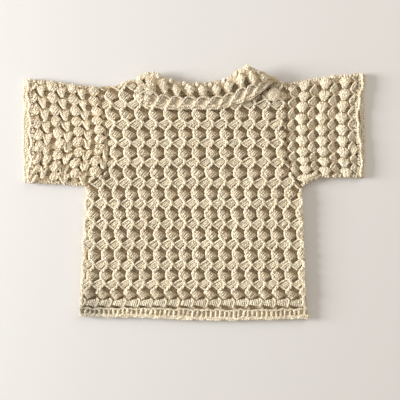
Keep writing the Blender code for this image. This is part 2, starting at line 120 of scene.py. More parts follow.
# --- The open-work stitch of the body
BODY_REPEAT = np.array([16.6, 26.0])  # the size that the tables of its shapes are drawn at
BODY_ROWS = [
    # y of a row of gaps, x of its middle, pitch to the left, pitch to the right
    (131.5, 0.5, 18.5, 17.8),
    (107, 1.3, 18.5, 17.9),
    (82, 1.7, 17.8, 17.3),
    (58.5, 0.7, 17.2, 17.8),
    (33.5, 0.1, 17.5, 18.0),
    (7.0, -0.3, 16.8, 17.0),
    (-19, 0.0, 16.5, 16.5),
    (-45, 1.2, 16.5, 16.5),
    (-71, 1.3, 16.5, 16.6),
    (-97, 0.6, 16.6, 16.8),
    (-121, -0.6, 17.0, 17.1),
]
BODY_COLUMNS = 18
# Which columns and rows of repeats the cloth's grid covers.
BODY_CELLS = ((-1, BODY_COLUMNS + 1), (-2, len(BODY_ROWS) + 1))
BODY_WINDOW = (-5.0, 13.0)  # left and upper edge of the repeat that its gaps lie in
BODY_GRID = (9, 12)  # squares of the cloth's grid, across and up one repeat
BACK_GRID = (6, 8)  # the same underneath
BLOCK_PLACE = (-0.16, 0.255)  # the middle of a block, in repeats from the middle of its gap

# x and y in mm from the middle of the block, z in mm above the wall.
CORD = [
    (-7.6, 0.0, 1.3),
    (-6.6, -4.1, 1.4),
    (-2.8, -8.0, 1.6),
    (-0.9, -12.2, 1.8),
    (-3.4, -16.8, 1.6),
    (-6.9, -21.6, 1.4),
]
FAN_CHAIN = [(-0.3, -13.5, 0.9), (2.4, -15.6, 1.3), (5.2, -17.6, 1.3), (7.9, -19.6, 0.9)]
FAN_EDGE = [(-0.3, -13.3, 0.9), (3.6, -10.6, 1.3), (7.6, -8.0, 1.3), (11.9, -5.4, 1.2)]
# Corners of what posts fill: two ends of the side they start from, two ends of the other one.
BLOCK = [(-8.6, 0.8), (-1.6, -8.4), (-5.4, 6.4), (5.0, -1.0)]
FAN = [(1.0, -14.3), (7.0, -18.6), (11.6, -7.0), (14.4, -12.0)]
HEM_FAN = [(-5.0, -15.4), (8.8, -17.6), (-3.0, -9.2), (10.2, -6.8)]
HEM_FAN_EDGE = [(8.4, -6.0, 0.9), (11.4, -9.0, 1.4), (10.8, -13.6, 1.4), (9.2, -17.8, 0.9)]
GAP_BIG = [(-4.0, 9.2), (-0.6, 11.0), (9.6, 5.0), (9.2, 0.6), (5.6, 0.0), (-0.6, 4.2), (-3.6, 6.4)]
GAP_SMALL = [(0.2, -8.2), (1.4, -6.6), (6.9, -2.8), (8.8, -5.6), (2.2, -11.3)]

# Painted light and shade: a block's left posts are lighter and its right posts darker.
BLOCK_PAINTED_SHADING = np.array([1.16, 1.08, 1.0, 0.96, 0.92])  # the lightness of a block's posts
SHOULDER_KNOB = (100.6, 125.5)  # x and y of its middle

BODY_BUMPS = [
    # middle x, y, reach x, y, height: under the block and under the fan
    (-1.2, -0.6, 5.8, 5.0, 2.3),
    (7.5, -12.8, 4.4, 4.0, 1.3),
]

# --- The open-work stitch of the sleeves
SLEEVE_REPEAT = np.array([25.7, 14.1])  # mm across and up
SLEEVE_GRID = (20, 12)  # squares of the cloth's grid, across and up one repeat
UNEVEN_FROM_ROW = 4  # the stitches are uneven from the row after this one
LEFT_ROWS = [
    # y of a row of blocks at the first column, at the last one, shift to the right
    (138.6, 131.3, -1.4),
    (123.4, 117.2, 0.0),
    (107.6, 103.7, 2.9),
    (90.2, 92.3, 4.3),
    (74.5, 81.1, 7.4),
    (59.9, 69.4, 7.0),
    (45.3, 55.4, 7.0),
    (31.3, 42.1, 3.5),
    (18.6, 28.8, 1.0),
]
RIGHT_ROWS = [
    (137.9, 142.8, 3.4),
    (123.8, 126.6, 2.3),
    (110.3, 111.7, 0.0),
    (95.6, 96.2, -0.8),
    (81.5, 81.4, -0.5),
    (67.2, 67.2, -0.5),
    (53.1, 52.5, 1.0),
    (41.9, 39.8, 1.5),
    (30.7, 27.8, 4.5),
]
# x and y in mm from the middle of a block, z above the wall.
LEFT_WINDOW = (-24.5, -1.0)  # left and upper edge of the repeat that its gaps lie in
RIGHT_WINDOW = (-12.0, 1.0)
CUP = [(-18.6, -0.6), (-8.8, -0.4), (-15.0, -11.6), (-12.8, -12.0)]
CUP_STRAND = [(-19.8, 0.8, 0.8), (-18.6, -3.0, 1.6), (-17.0, -7.0, 2.0), (-15.4, -10.0, 2.0)]
CUP_STRAND += [(-13.9, -12.2, 1.4)]
CUP_TICK = [(-15.8, -11.8, 1.6), (-14.2, -12.7, 2.1), (-12.7, -12.3, 1.7)]
RHOMB = [(9.6, -9.4), (13.4, -14.2), (14.6, -3.2), (18.4, -9.4)]
RHOMB_STRAND = [(14.2, -0.6, 0.6), (12.2, -3.2, 1.4), (9.6, -5.8, 1.8), (8.3, -8.4, 1.7)]
RHOMB_STRAND += [(9.0, -10.8, 1.1)]
RHOMB_LOW = [(8.8, -10.6, 0.8), (10.4, -12.8, 0.9), (12.8, -14.6, 0.7)]
LEFT_GAPS = [
    [(-12.0, -5.8), (-8.0, -5.0), (-3.6, -6.6), (-4.2, -10.4), (-8.2, -12.8), (-11.8, -11.6)],
    [(-23.6, -5.0), (-21.6, -4.6), (-17.4, -11.8), (-18.2, -13.6), (-21.4, -11.2)],
]
RIGHT_GAPS = [
    [(-9.6, -2.2), (-6.7, -1.0), (-3.9, -3.6), (-3.0, -6.6), (-6.5, -11.5), (-9.4, -9.5)],
    [(3.4, -9.0), (2.8, -6.4), (6.4, -2.0), (9.9, -1.2), (10.3, -4.2), (6.2, -8.6)],
]
LEFT_BUMPS = [(0.0, 0.0, 5.0, 4.8, 2.2), (-13.8, -5.2, 3.4, 4.6, 1.4)]
RIGHT_BUMPS = [(0.0, 1.4, 5.4, 4.6, 2.2), (13.6, -8.4, 3.8, 4.6, 1.6)]

# Knobs of yarn where the stitches are uneven: x, y, half width, lean in degrees.
LEFT_KNOBS = [
    (-115.5, 128, 4.2, 40),
    (-115.0, 117, 3.8, -30),
    (-113.5, 105, 4.0, 20),
    (-113.0, 93, 3.6, 60),
    (-112.0, 81, 3.8, -20),
    (-111.5, 69, 3.6, 40),
    (-111.5, 57, 3.8, 10),
    (-112.5, 45, 4.0, -40),
    (-115.0, 34, 4.2, 30),
    (-121.0, 25, 4.4, 60),
    (-129.5, 17, 3.8, 20),
]
RIGHT_KNOBS = [
    (203.4, 54.5, 5.4, 60),
    (125.5, 29, 4.2, 20),
    (134.5, 18.5, 4.4, -30),
    (147.0, 20.5, 4.4, 40),
    (121.5, 134, 3.4, 40),
]

# --- The folded collar
COLLAR = [
    # x, y of the fold, y of the free edge, lift of the fold, lift of the free edge
    (-72, 148, 124, 0.0, 0.0),
    (-64, 153, 113, 1.5, 0.0),
    (-52, 155, 110, 3.0, 0.0),
    (-43, 150, 109, 2.0, 0.0),
    (-33, 146, 108, 0.5, 0.0),
    (-12, 141.5, 108, 0.0, 0.0),
    (10, 141, 108, 0.0, 0.0),
    (30, 143, 108, 1.0, 0.0),
    (44, 147, 111, 4.0, 0.5),
    (55, 156, 114, 9.0, 1.5),
    (64, 161, 117, 13.0, 3.0),
    (71, 159, 120, 12.0, 4.5),
    (78, 155, 124, 10.0, 5.5),
    (86, 153.5, 130, 7.5, 5.5),
    (94, 150, 136.5, 4.0, 3.5),
    (100, 147.5, 140.5, 1.5, 1.0),
]
COLLAR_REPEAT = np.array([17.0, 33.0])  # along it, and from the fold to the free edge
# x of each column of its blocks
COLLAR_BLOCKS = [-53.0, -37.0, -22.7, -5.4, 11.0, 29.0, 42.7, 59.0, 72.6, 86.0]
COLLAR_BLOCK_AT = 0.36  # the blocks' share of the way from the fold to the free edge
# x and y in mm from the middle of a block.
COLLAR_GAP = [(-14.2, -0.4), (-11.0, 1.2), (-6.6, -2.2), (-2.0, -6.4), (-4.0, -9.4), (-10.4, -8.8)]
COLLAR_BLOCK = [(-5.6, 1.0), (1.8, -6.8), (-2.2, 7.4), (6.2, 1.2)]
FOLD_KNOB = [(-10.0, 6.2), (-6.0, 6.8), (-9.6, 10.6), (-6.6, 11.0)]
COLLAR_VALLEY = [(-3.0, 4.4), (3.4, 4.8), (-4.2, 10.2), (5.0, 10.8)]
COLLAR_SHELL = [(-7.8, -15.6), (2.4, -20.8), (-2.6, -9.0), (9.8, -12.6)]
COLLAR_EDGE = [(-8.8, -16.6, 0.4), (-8.0, -12.0, 1.3), (-4.4, -8.2, 1.9), (2.4, -7.6, 1.7)]
COLLAR_EDGE += [(9.8, -11.4, 0.6)]
# x, y, reach and height of the hills under a block and on both sides of it
COLLAR_BUMPS = [(0.0, 0.2, 5.0, 1.9), (1.0, 9.0, 6.0, 0.8), (1.0, -15.0, 6.0, 0.5)]
COLLAR_OPEN = (0.1, 7.9)  # its gaps are open between these columns
COLLAR_RIGHT = 4.5  # mm: what lies further right of a block belongs to the next one
COLLAR_GRID = (116, 6, 30)  # points along it, across it under the fold, and over the fold
COLLAR_HOLLOWS = [
    # x, y, radius of the openings of the left end
    (-62.5, 141.7, 3.6),
    (-62.5, 127.6, 3.4),
    (-65.2, 117.0, 2.8),
]
# Knobs of yarn at its left end: x, y, half width, lean in degrees.
COLLAR_KNOBS = [
    (-69.5, 142.0, 3.6, 40),
    (-55.3, 139.0, 4.8, 60),
    (-56.0, 128.5, 4.6, 30),
    (-69.0, 131.5, 3.8, -30),
    (-59.5, 120.0, 3.8, 10),
    (-69.0, 122.5, 3.4, 60),
    (-50.0, 149.0, 3.4, 20),
    (-60.0, 149.5, 3.4, -40),
]
# The left end's strands, from a knot: x and y of the knot, of the bend and of the end.
COLLAR_TAILS = [
    (-58, 130, -66, 134, -76, 129),
    (-58, 130, -66, 128, -74, 121),
    (-57, 129, -63, 122, -69, 114),
    (-56, 128, -58, 119, -60, 112),
    (-58, 132, -66, 140, -71, 146),
    (-57, 133, -60, 142, -64, 150),
    (-55, 133, -54, 142, -56, 152),
]

# --- Strands and plain bands
HEM_POST_PITCH = 6.0  # mm
KNOTS_EVERY = 5.0  # mm between the knots of a strand that follows an edge
FINE_GRID = 1.5  # mm, the squares of an upper band's cloth
PLAIN_GRID = 1.8  # mm, and of one underneath
SHEET = 1.5  # how thick an open sheet is between its hills
BACK_SHEET, BACK_RELIEF = 1.0, 0.55  # how thick the back is, and its share of the relief
RIM = 1.6  # the most that a sheet is thick along its outline
SAME = 0.5  # mm: points of an outline that are nearer than this are one
SHARP_FROM = 55  # degrees between faces
GRAIN = 0.16  # how far the lightness of short posts varies along them

# --- The cotton
# The third colour is painted shade, which the cotton takes low down between the strands and in the
# gaps.
LIGHT, SHADE, PAINTED_SHADE_LOW = (0.93, 0.865, 0.705), (0.80, 0.695, 0.51), (0.74, 0.585, 0.40)
# The blocks' yarn is the plain yarn with a darker shade end and a slightly lighter light end. Its
# darker end is painted shade on the stitches it is wound on: the blocks, the right sleeve's rhombs
# and the collar's shells.
BLOCK_LIGHT, BLOCK_SHADE = (0.95, 0.875, 0.715), (0.74, 0.625, 0.45)
# The cloth under the strands is darker than the yarn: painted shade between the strands.
CLOTH_LIGHT, CLOTH_SHADE = (0.73, 0.61, 0.43), (0.54, 0.43, 0.28)
# The layer underneath is darker than the yarn: painted shade where it shows through the gaps.
UNDER_LIGHT, UNDER_SHADE = (0.80, 0.68, 0.48), (0.64, 0.52, 0.35)
YARNS = {
    # name, light, shade, how dark its knots are (painted shade where they meet), height up to which
    # the painted shade low down is full, height where it ends
    "yarn": ("cream cotton yarn", LIGHT, SHADE, 0.7, 0.0, 5.5),
    "blocks": ("cream cotton yarn, blocks", BLOCK_LIGHT, BLOCK_SHADE, 0.9, 0.0, 5.5),
    "cloth": ("cream cotton cloth", CLOTH_LIGHT, CLOTH_SHADE, 1.0, 0.0, 5.5),
    "back rims": ("cream cotton yarn, back rims", LIGHT, SHADE, 0.7, -6.0, 1.0),
    "underneath": ("cream cotton, underneath", UNDER_LIGHT, UNDER_SHADE, 0.7, -3.0, 5.5),
}
# How many cells to a metre the cotton's patterns have: broad patches, knots and fibres.
BROAD_SCALE, KNOT_SCALE, FIBRE_SCALE = 45.0, 400.0, 1500.0


# --- Lines and outlines
def joined(*lines):
    """The closed outline through these lines, each given in its direction of travel."""
    outline = []
    for line in lines:
        for point in line:
            if not outline or np.hypot(*np.subtract(point, outline[-1])) > SAME:
                outline.append(point)
    if np.hypot(*np.subtract(outline[0], outline[-1])) < SAME:
        outline.pop()
    outline = np.array(outline, float)
    x, y = outline.T
    turning = np.sum(x * np.roll(y, -1) - np.roll(x, -1) * y)
    return outline if turning > 0 else outline[::-1]


def scalloped(line, pitch, first, depth):
    """The line with shallow scallops: its y less depth times half of (1 - cos of x in pitches)."""
    line = np.array(line, float)
    x = np.linspace(line[0, 0], line[-1, 0], int(abs(line[-1, 0] - line[0, 0]) / 1.6))
    order = np.argsort(line[:, 0])
    y = np.interp(x, line[order, 0], line[order, 1])
    y = y - depth / 2 * (1 - np.cos(2 * np.pi * (x - first) / pitch))
    y[[0, -1]] = line[[0, -1], 1]
    return np.stack([x, y], axis=1)


def inset(outline, by):
    """The outline, counter-clockwise, with every edge moved inwards by this much."""
    before, after = np.roll(outline, 1, axis=0), np.roll(outline, -1, axis=0)

    def inward(edge):
        normal = np.stack([-edge[:, 1], edge[:, 0]], axis=1)
        return normal / np.linalg.norm(normal, axis=1)[:, None]

    mitre = inward(outline - before) + inward(after - outline)
    return outline + mitre * (2 * by / np.sum(mitre * mitre, axis=1))[:, None]


def panel_edge(*lines):
    """The outline through these lines, half the gap of a seam inside them."""
    return inset(joined(*lines), SEAM_GAP / 2)


def inside(points, outline):
    """Which points lie inside the outline, by the crossings of a line to the right."""
    x, y = points[..., 0, None], points[..., 1, None]
    a, b = outline, np.roll(outline, -1, axis=0)
    spans = (a[:, 1] > y) != (b[:, 1] > y)
    rise = np.where(b[:, 1] == a[:, 1], 1.0, b[:, 1] - a[:, 1])
    cross = a[:, 0] + (y - a[:, 1]) / rise * (b[:, 0] - a[:, 0])
    return (spans & (x < cross)).sum(axis=-1) % 2 == 1


def nearest(points, outline):
    """For each point, the nearest point on the outline's edges."""
    a, edge = outline, np.roll(outline, -1, axis=0) - outline
    to = points[..., None, :2] - a
    share = np.clip((to * edge).sum(-1) / (edge * edge).sum(-1), 0, 1)
    foot = a + share[..., None] * edge
    best = np.linalg.norm(points[..., None, :2] - foot, axis=-1).argmin(axis=-1)
    return np.take_along_axis(foot, best[..., None, None], axis=-2)[..., 0, :]


def cloth_up(points):
    """How far soft folds raise the cloth: rounded ridges, and a shallow unevenness of sines."""
    x, y = points[..., 0], points[..., 1]
    up = 0.25 * np.sin(x / 23 + y / 41 + 1) + 0.2 * np.sin(y / 19 - x / 37)
    for x1, y1, x2, y2, height, half in FOLDS:
        a, edge = np.array([x1, y1]), np.array([x2 - x1, y2 - y1])
        to = points[..., :2] - a
        share = np.clip(to @ edge / (edge @ edge), 0, 1)
        away = np.linalg.norm(to - share[..., None] * edge, axis=-1) / half
        up = up + height * np.exp(-away * away * 2)
    return up


def patches_and_painted_shade(points):
    """How light the yarn is from place to place: round patches that fade away from their middle,
    some of them painted shade.
    """
    tone = 1.0
    for x, y, across, up, by in PATCHES:
        dx, dy = (points[..., 0] - x) / across, (points[..., 1] - y) / up
        tone = tone + by * np.exp(-dx * dx - dy * dy)
    return tone


# --- Meshes
def placed(name, data):
    """A new object of the scene, with this mesh, light or camera."""
    made = bpy.data.objects.new(name, data)
    bpy.context.scene.collection.objects.link(made)
    return made


def add_mesh(name, points, face_sets, material, uv=None, tone=1.0):
    """A smooth mesh object. face_sets are arrays of faces, each with one number of corners."""
    corners = np.concatenate([faces.reshape(-1) for faces in face_sets])
    sizes = np.concatenate([np.full(len(faces), faces.shape[1]) for faces in face_sets])
    mesh = bpy.data.meshes.new(name)
    mesh.vertices.add(len(points))
    mesh.vertices.foreach_set("co", np.ascontiguousarray(points * MM, np.float32).ravel())
    mesh.loops.add(len(corners))
    mesh.loops.foreach_set("vertex_index", corners.astype(np.int32))
    mesh.polygons.add(len(sizes))
    starts = np.concatenate([[0], np.cumsum(sizes)[:-1]])
    mesh.polygons.foreach_set("loop_start", starts.astype(np.int32))
    mesh.update(calc_edges=True)
    if uv is not None:
        mesh.uv_layers.new(name="yarn").data.foreach_set("uv", uv.astype(np.float32).ravel())
    layer = mesh.attributes.new("tone", "FLOAT", "POINT")
    layer.data.foreach_set("value", (tone * patches_and_painted_shade(points)).astype(np.float32))
    mesh.shade_smooth()
    mesh.set_sharp_from_angle(angle=np.radians(SHARP_FROM))
    mesh.materials.append(material)
    return placed(name, mesh)


def smooth(points, steps):
    """Catmull-Rom curves through points (strands, knots, 3), with this many steps to a stretch.

    Each stretch is the cubic whose slope at a knot is half the way between the knot's neighbours.
    """
    points = np.asarray(points, float)
    first, last = points[:, :1], points[:, -1:]
    ends = [2 * first - points[:, 1:2], points, 2 * last - points[:, -2:-1]]
    padded = np.concatenate(ends, axis=1)
    stretches = points.shape[1] - 1
    at = np.linspace(0, stretches, stretches * steps + 1)
    i = np.minimum(at.astype(int), stretches - 1)
    t = (at - i)[:, None]
    p0, p1, p2, p3 = (padded[:, i + k] for k in range(4))
    cubic = (3 * p1 - p0 - 3 * p2 + p3) * t**3
    return 0.5 * (2 * p1 + (p2 - p0) * t + (2 * p0 - 5 * p1 + 4 * p2 - p3) * t**2 + cubic)


def directions(paths):
    """Unit vectors along each path, to its right and upwards across it."""
    ahead = np.gradient(paths, axis=1)
    ahead /= np.maximum(np.linalg.norm(ahead, axis=-1, keepdims=True), 1e-9)
    side = np.cross(ahead, [0.0, 0.0, 1.0])
    side /= np.maximum(np.linalg.norm(side, axis=-1, keepdims=True), 1e-9)
    return ahead, side, np.cross(side, ahead)


def lengths(paths):
    """How far along its path each point lies."""
    steps = np.linalg.norm(np.diff(paths, axis=1), axis=-1)
    return np.concatenate([np.zeros((len(paths), 1)), np.cumsum(steps, axis=1)], axis=1)


def plied(paths, apart, turns, plies=2, phase=0.0, flat=1.0):
    """Each path as plies that wind round it: a helix of radius apart, with this many turns."""
    _, side, up = directions(paths)
    along = lengths(paths)
    share = along / along[:, -1:]
    made = []
    for ply in range(plies):
        angle = 2 * np.pi * (turns * share + ply / plies + phase)[..., None]
        made.append(paths + apart * (np.cos(angle) * side + flat * np.sin(angle) * up))
    return np.concatenate(made, axis=0)


def twisted(paths, turns, apart):
    """Short posts as two plies each, every one starting its twist at another angle."""
    phase = RANDOM.random((len(paths), 1))
    return plied(paths, apart, turns, phase=phase, flat=0.8)


class Skein:
    """Strands of yarn that are gathered and then made into one mesh."""

    PLY_PITCH = 3.2  # mm of yarn to one turn of its own twist

    def __init__(self):
        self.points, self.quads, self.caps, self.uv, self.tone = [], [], [], [], []
        self.count = 0

    def add(self, paths, radius, tone=1.0, sides=6, end=0.6, spread=0.05, beads=0.0, grain=0.0):
        """Round tubes along paths (strands, points, 3).

        A ring's point is the centre plus radius times (cos a of the side vector plus sin a of
        the up vector). The last rings are smaller, which rounds the ends. Beads are swellings
        at random, as a share of the radius, and grain is how far a ring's lightness varies.
        """
        if not len(paths):
            return
        strands, rings = paths.shape[:2]
        _, side, up = directions(paths)
        turn = 2 * np.pi * np.arange(sides) / sides
        around = np.cos(turn)[:, None] * side[:, :, None] + np.sin(turn)[:, None] * up[:, :, None]
        swell = np.ones(rings)
        swell[[0, -1]] = end
        swell = swell * (1 + beads * RANDOM.uniform(-1, 1, (strands, rings)))
        size = np.asarray(radius, float) * swell
        points = paths[:, :, None] + size[:, :, None, None] * around
        start = self.count + np.arange(strands)[:, None, None] * rings * sides
        ring, k = np.arange(rings - 1)[:, None] * sides, np.arange(sides)
        after = (k + 1) % sides
        a, b = start + ring + k, start + ring + after
        quads = np.stack([a, a + sides, b + sides, b], axis=-1).reshape(-1, 4)
        first = start[:, 0] + k
        last = start[:, 0] + (rings - 1) * sides + k[::-1]
        along = lengths(paths) / self.PLY_PITCH + RANDOM.random((strands, 1))
        u0, u1 = (np.broadcast_to(x[:, :, None], a.shape) for x in (along[:, :-1], along[:, 1:]))
        v0, v1 = (np.broadcast_to(x / sides, a.shape) for x in (k, k + 1))
        corners = [np.stack(pair, axis=-1) for pair in ((u0, v0), (u1, v0), (u1, v1), (u0, v1))]
        tone = np.resize(np.asarray(tone, float), strands)
        shade = (tone * (1 + spread * RANDOM.standard_normal(strands)))[:, None]
        shade = shade * (1 + grain * RANDOM.uniform(-1, 1, (strands, rings)))
        self.points.append(points.reshape(-1, 3))
        self.quads.append(quads)
        self.caps.append(np.concatenate([first, last]))
        self.uv.append(np.stack(corners, axis=-2).reshape(-1, 2))
        self.tone.append(np.repeat(shade.ravel(), sides))
        self.count += strands * rings * sides

    def add_posts(self, paths, radius, turns, apart, sides=5, grain=GRAIN, **look):
        """Short posts of two plies each, or of one where the plies aren't apart."""
        paths = twisted(paths, turns, apart) if apart else paths
        self.add(paths, radius, sides=sides, grain=grain, **look)

    def wind(self, name, material):
        """The mesh of all the strands."""
        uv = np.concatenate(self.uv + [np.zeros((sum(c.size for c in self.caps), 2))])
        points = np.concatenate(self.points)
        faces = [np.concatenate(self.quads)] + self.caps
        return add_mesh(name, points, faces, material, uv, np.concatenate(self.tone))


def two_sided(name, top, under, keep, material, tone=1.0):
    """A closed sheet between two grids of points, with walls round it and round its gaps."""
    columns, rows = top.shape[:2]
    index = np.arange(columns * rows).reshape(columns, rows)
    corners = [index[:-1, :-1], index[:-1, 1:], index[1:, 1:], index[1:, :-1]]
    quads = np.stack([corner[keep] for corner in corners], axis=-1)
    edges = np.stack([quads, np.roll(quads, -1, axis=1)], axis=-1).reshape(-1, 2)
    size = index.size
    code = edges[:, 0] * size + edges[:, 1]
    back = edges[:, 1] * size + edges[:, 0]
    lone = edges[~np.isin(code, back)]
    walls = np.stack([lone[:, 0] + size, lone[:, 1] + size, lone[:, 1], lone[:, 0]], axis=-1)
    faces = np.concatenate([quads, quads[:, ::-1] + size, walls])
    used, faces = np.unique(faces, return_inverse=True)
    points = np.concatenate([top.reshape(-1, 3), under.reshape(-1, 3)])[used]
    return add_mesh(name, points, [faces.reshape(-1, 4)], material, tone=tone)


def round_about(marked):
    """Which points of a grid have some of their faces marked, and some not."""
    columns, rows = marked.shape
    touched = np.zeros((columns + 1, rows + 1), int)
    for a in (0, 1):
        for b in (0, 1):
            touched[a : columns + a, b : rows + b] += marked
    return (touched > 0) & (touched < 4)


def repeated(cells, window, repeat, steps, gaps):
    """A grid over all the cells of a lattice, whose lines bend round the gaps of each repeat.

    Gives u and v of its points, their place in the repeat, and which faces are in a gap. The
    points round a gap are moved to the nearest point of its edge.
    """
    (u0, u1), (v0, v1) = cells
    nu, nv = steps
    i, j = np.meshgrid(np.arange(nu + 1), np.arange(nv + 1), indexing="ij")
    local = np.stack([window[0] + i / nu * repeat[0], window[1] - j / nv * repeat[1]], axis=-1)
    middle = (local[1:, 1:] + local[:-1, :-1]) / 2
    open_here = np.zeros((nu, nv), bool)
    for gap in gaps:
        gap = np.array(gap, float)
        hole = inside(middle, gap)
        rim = round_about(hole)
        local[rim] = nearest(local[rim], gap)
        open_here |= hole
    columns, rows = (u1 - u0) * nu, (v1 - v0) * nv
    gi, gj = np.meshgrid(np.arange(columns + 1), np.arange(rows + 1), indexing="ij")
    spot = local[gi % nu, gj % nv]
    u = u0 + gi // nu + spot[..., 0] / repeat[0]
    v = v0 + gj // nv - spot[..., 1] / repeat[1]
    return u, v, spot, np.tile(open_here, (u1 - u0, v1 - v0))


def shell(name, lattice, shape, relief, outline, base, material, least=0.0):
    """A thin sheet of cloth over a lattice: a flat underside, and an upper side with its relief.

    Faces outside the outline are left out, and the points on that rim move to the outline.
    shape is what repeated() takes, and relief(x, y) is the upper side's height above base at a
    place in the repeat.
    """
    u, v, spot, is_open = repeated(*shape)
    top = lattice.at(u, v)
    centre = (top[1:, 1:, :2] + top[:-1, :-1, :2]) / 2
    within = inside(centre, outline)
    rim = round_about(within)
    top[rim, :2] = nearest(top[rim], outline)
    height = relief(spot[..., 0], spot[..., 1])
    height = np.where(rim, np.minimum(height, RIM), height + top[..., 2])
    top[..., 2] = base + np.maximum(height, least)
    under = top.copy()
    under[..., 2] = base
    return two_sided(name, top, under, within & ~is_open, material)


def pulled_in(paths, outline, margin, most=0.5):
    """Strands kept inside an outline: a point that is outside moves to the nearest point of it.

    A strand with more than this share of its points outside is left out.
    """
    limit = inset(outline, margin)
    out = ~inside(paths, limit)
    paths = paths.copy()
    if out.any():
        paths[out, :2] = nearest(paths[out], limit)
    return paths[out.mean(axis=1) < most]


# --- Shaders
def operator(operation, swapped=False):
    """The method of an operator, or of its reflected form: it adds a Math node."""

    def apply(self, other):
        return self.math(operation, *((other, self) if swapped else (self, other)))

    return apply


class Value:
    """A shader value. Arithmetic on it adds Math nodes."""

    __add__, __radd__ = operator("ADD"), operator("ADD", swapped=True)
    __sub__, __rsub__ = operator("SUBTRACT"), operator("SUBTRACT", swapped=True)
    __mul__, __rmul__ = operator("MULTIPLY"), operator("MULTIPLY", swapped=True)

    def __init__(self, tree, socket):
        self.tree, self.socket = tree, socket

    def math(self, operation, *values):
        """A Math node on these values."""
        return self.make("ShaderNodeMath", {"operation": operation}, values)

    def make(self, kind, settings, values, output=0):
        """A node of this type, with its settings, and values or links for its sockets."""
        node = self.tree.nodes.new(kind)
        for name, setting in settings.items():
            setattr(node, name, setting)
        pairs = values.items() if isinstance(values, dict) else enumerate(values)
        for key, value in pairs:
            if isinstance(value, Value):
                self.tree.links.new(value.socket, node.inputs[key])
            else:
                node.inputs[key].default_value = value
        return Value(self.tree, node.outputs[output])

    def mix(self, low, high):
        """A colour between two, with this value as the share of the second."""
        settings = {"data_type": "RGBA"}
        return self.make("ShaderNodeMix", settings, {0: self, 6: low, 7: high}, output=2)

    def clamped(self):
        """The value kept between 0 and 1."""
        return self.make("ShaderNodeClamp", {}, [self])


def cotton_yarn(name, light, shade, knots, full_shade_below, no_shade_above):
    """Cream cotton: uneven in colour, with painted shade low down between the strands, knotted and
    fibrous.

    The stripes along a strand are the sine of (length plus twice the way round) turns of its
    ply, a little darker in its grooves: painted shade. Knots are rounded cells of about 2 mm, dark
    where they meet: painted shade in the pits between them.
    """
    material = bpy.data.materials.new(name)
    material.use_nodes = True
    tree = material.node_tree
    shader = tree.nodes["Principled BSDF"]
    start = Value(tree, None)
    place = start.make("ShaderNodeTexCoord", {}, [], output=3)
    uv = start.make("ShaderNodeTexCoord", {}, [], output=2)
    u = start.make("ShaderNodeSeparateXYZ", {}, [uv], output=0)
    v = start.make("ShaderNodeSeparateXYZ", {}, [uv], output=1)
    z = start.make("ShaderNodeSeparateXYZ", {}, [place], output=2)
    tone = start.make("ShaderNodeAttribute", {"attribute_name": "tone"}, [], output=2)
    broad = {0: place, "Scale": BROAD_SCALE, "Detail": 3.0}
    broad = start.make("ShaderNodeTexNoise", {}, broad)
    fibre = {0: place, "Scale": FIBRE_SCALE, "Detail": 4.0}
    fibre = start.make("ShaderNodeTexNoise", {}, fibre)
    knot = start.make("ShaderNodeTexVoronoi", {}, {0: place, "Scale": KNOT_SCALE})
    ply = start.math("SINE", (u + v * 2.0) * (2 * np.pi))
    height = ply * 0.35 + fibre * 0.9 - knot * (2.6 * knots)
    # The ply's grooves and the pits between the knots are darker: painted shade.
    lightness = (broad * 0.9 + fibre * 0.8 + ply * 0.08 - knot * knots - 0.05).clamped()
    colour = lightness.mix((*shade, 1), (*light, 1))
    # Painted shade low down: the lower the surface, the more it takes of the shade colour.
    depth = ((z - full_shade_below * MM) * (1 / ((no_shade_above - full_shade_below) * MM))).clamped()
    colour = depth.mix((*PAINTED_SHADE_LOW, 1), colour)
    grey = start.make("ShaderNodeCombineXYZ", {}, [tone, tone, tone])
    product = {0: colour, 1: grey}
    colour = start.make("ShaderNodeVectorMath", {"operation": "MULTIPLY"}, product)
    roughness = fibre * 0.25 + 0.68
    bump = {"Strength": 0.7, "Distance": 0.9 * MM, "Height": height}
    normal = start.make("ShaderNodeBump", {}, bump)
    tree.links.new(colour.socket, shader.inputs["Base Color"])
    tree.links.new(roughness.socket, shader.inputs["Roughness"])
    tree.links.new(normal.socket, shader.inputs["Normal"])
    shader.inputs["Sheen Weight"].default_value = 0.15
    shader.inputs["Specular IOR Level"].default_value = 0.25
    return material


# --- Shapes laid on a lattice
def lying(at):
    """The same places with a third number: how far soft folds raise the cloth there."""

    def place(u, v):
        xy = at(u, v)
        return np.concatenate([xy, cloth_up(xy)[..., None]], axis=-1)

    return place


class Lattice:
    """A stitch's repeat. at(u, v) turns columns and rows of repeats into x, y and height."""

    def __init__(self, at, repeat, top):
        self.at, self.repeat, self.top = at, np.array(repeat, float), top

    def laid(self, cells, shape, amount=0.3, steps=2):
        """Curves through a shape's strands (strands, knots, 3) round each cell.

        Each cell drifts out of place by this amount, or by one for each cell, and each strand
        by half as much.
        """
        shape = np.asarray(shape, float)
        level = np.array([1, 1, 0.6])
        amount = np.broadcast_to(amount, len(cells))[:, None, None, None]
        drift = amount * RANDOM.standard_normal((len(cells), 1, 1, 3)) * level
        wobble = amount / 2 * RANDOM.standard_normal((len(cells), len(shape), 1, 3)) * level
        jitter = amount / 2 * RANDOM.standard_normal((len(cells), *shape.shape)) * level
        shape = shape + drift + wobble + jitter
        u = cells[:, 0, None, None] + shape[..., 0] / self.repeat[0]
        v = cells[:, 1, None, None] - shape[..., 1] / self.repeat[1]
        knots = self.at(u, v)
        knots[..., 2] += self.top + shape[..., 2]
        return smooth(knots.reshape(-1, shape.shape[-2], 3), steps)


def read_on(values, at):
    """Values read between their rows, and in a straight line past the first and last one."""
    rows = np.arange(len(values))
    past = np.clip(at - rows[-1], 0, None) * (values[-1] - values[-2])
    short = np.clip(at, None, 0) * (values[1] - values[0])
    return np.interp(at, rows, values) + past + short


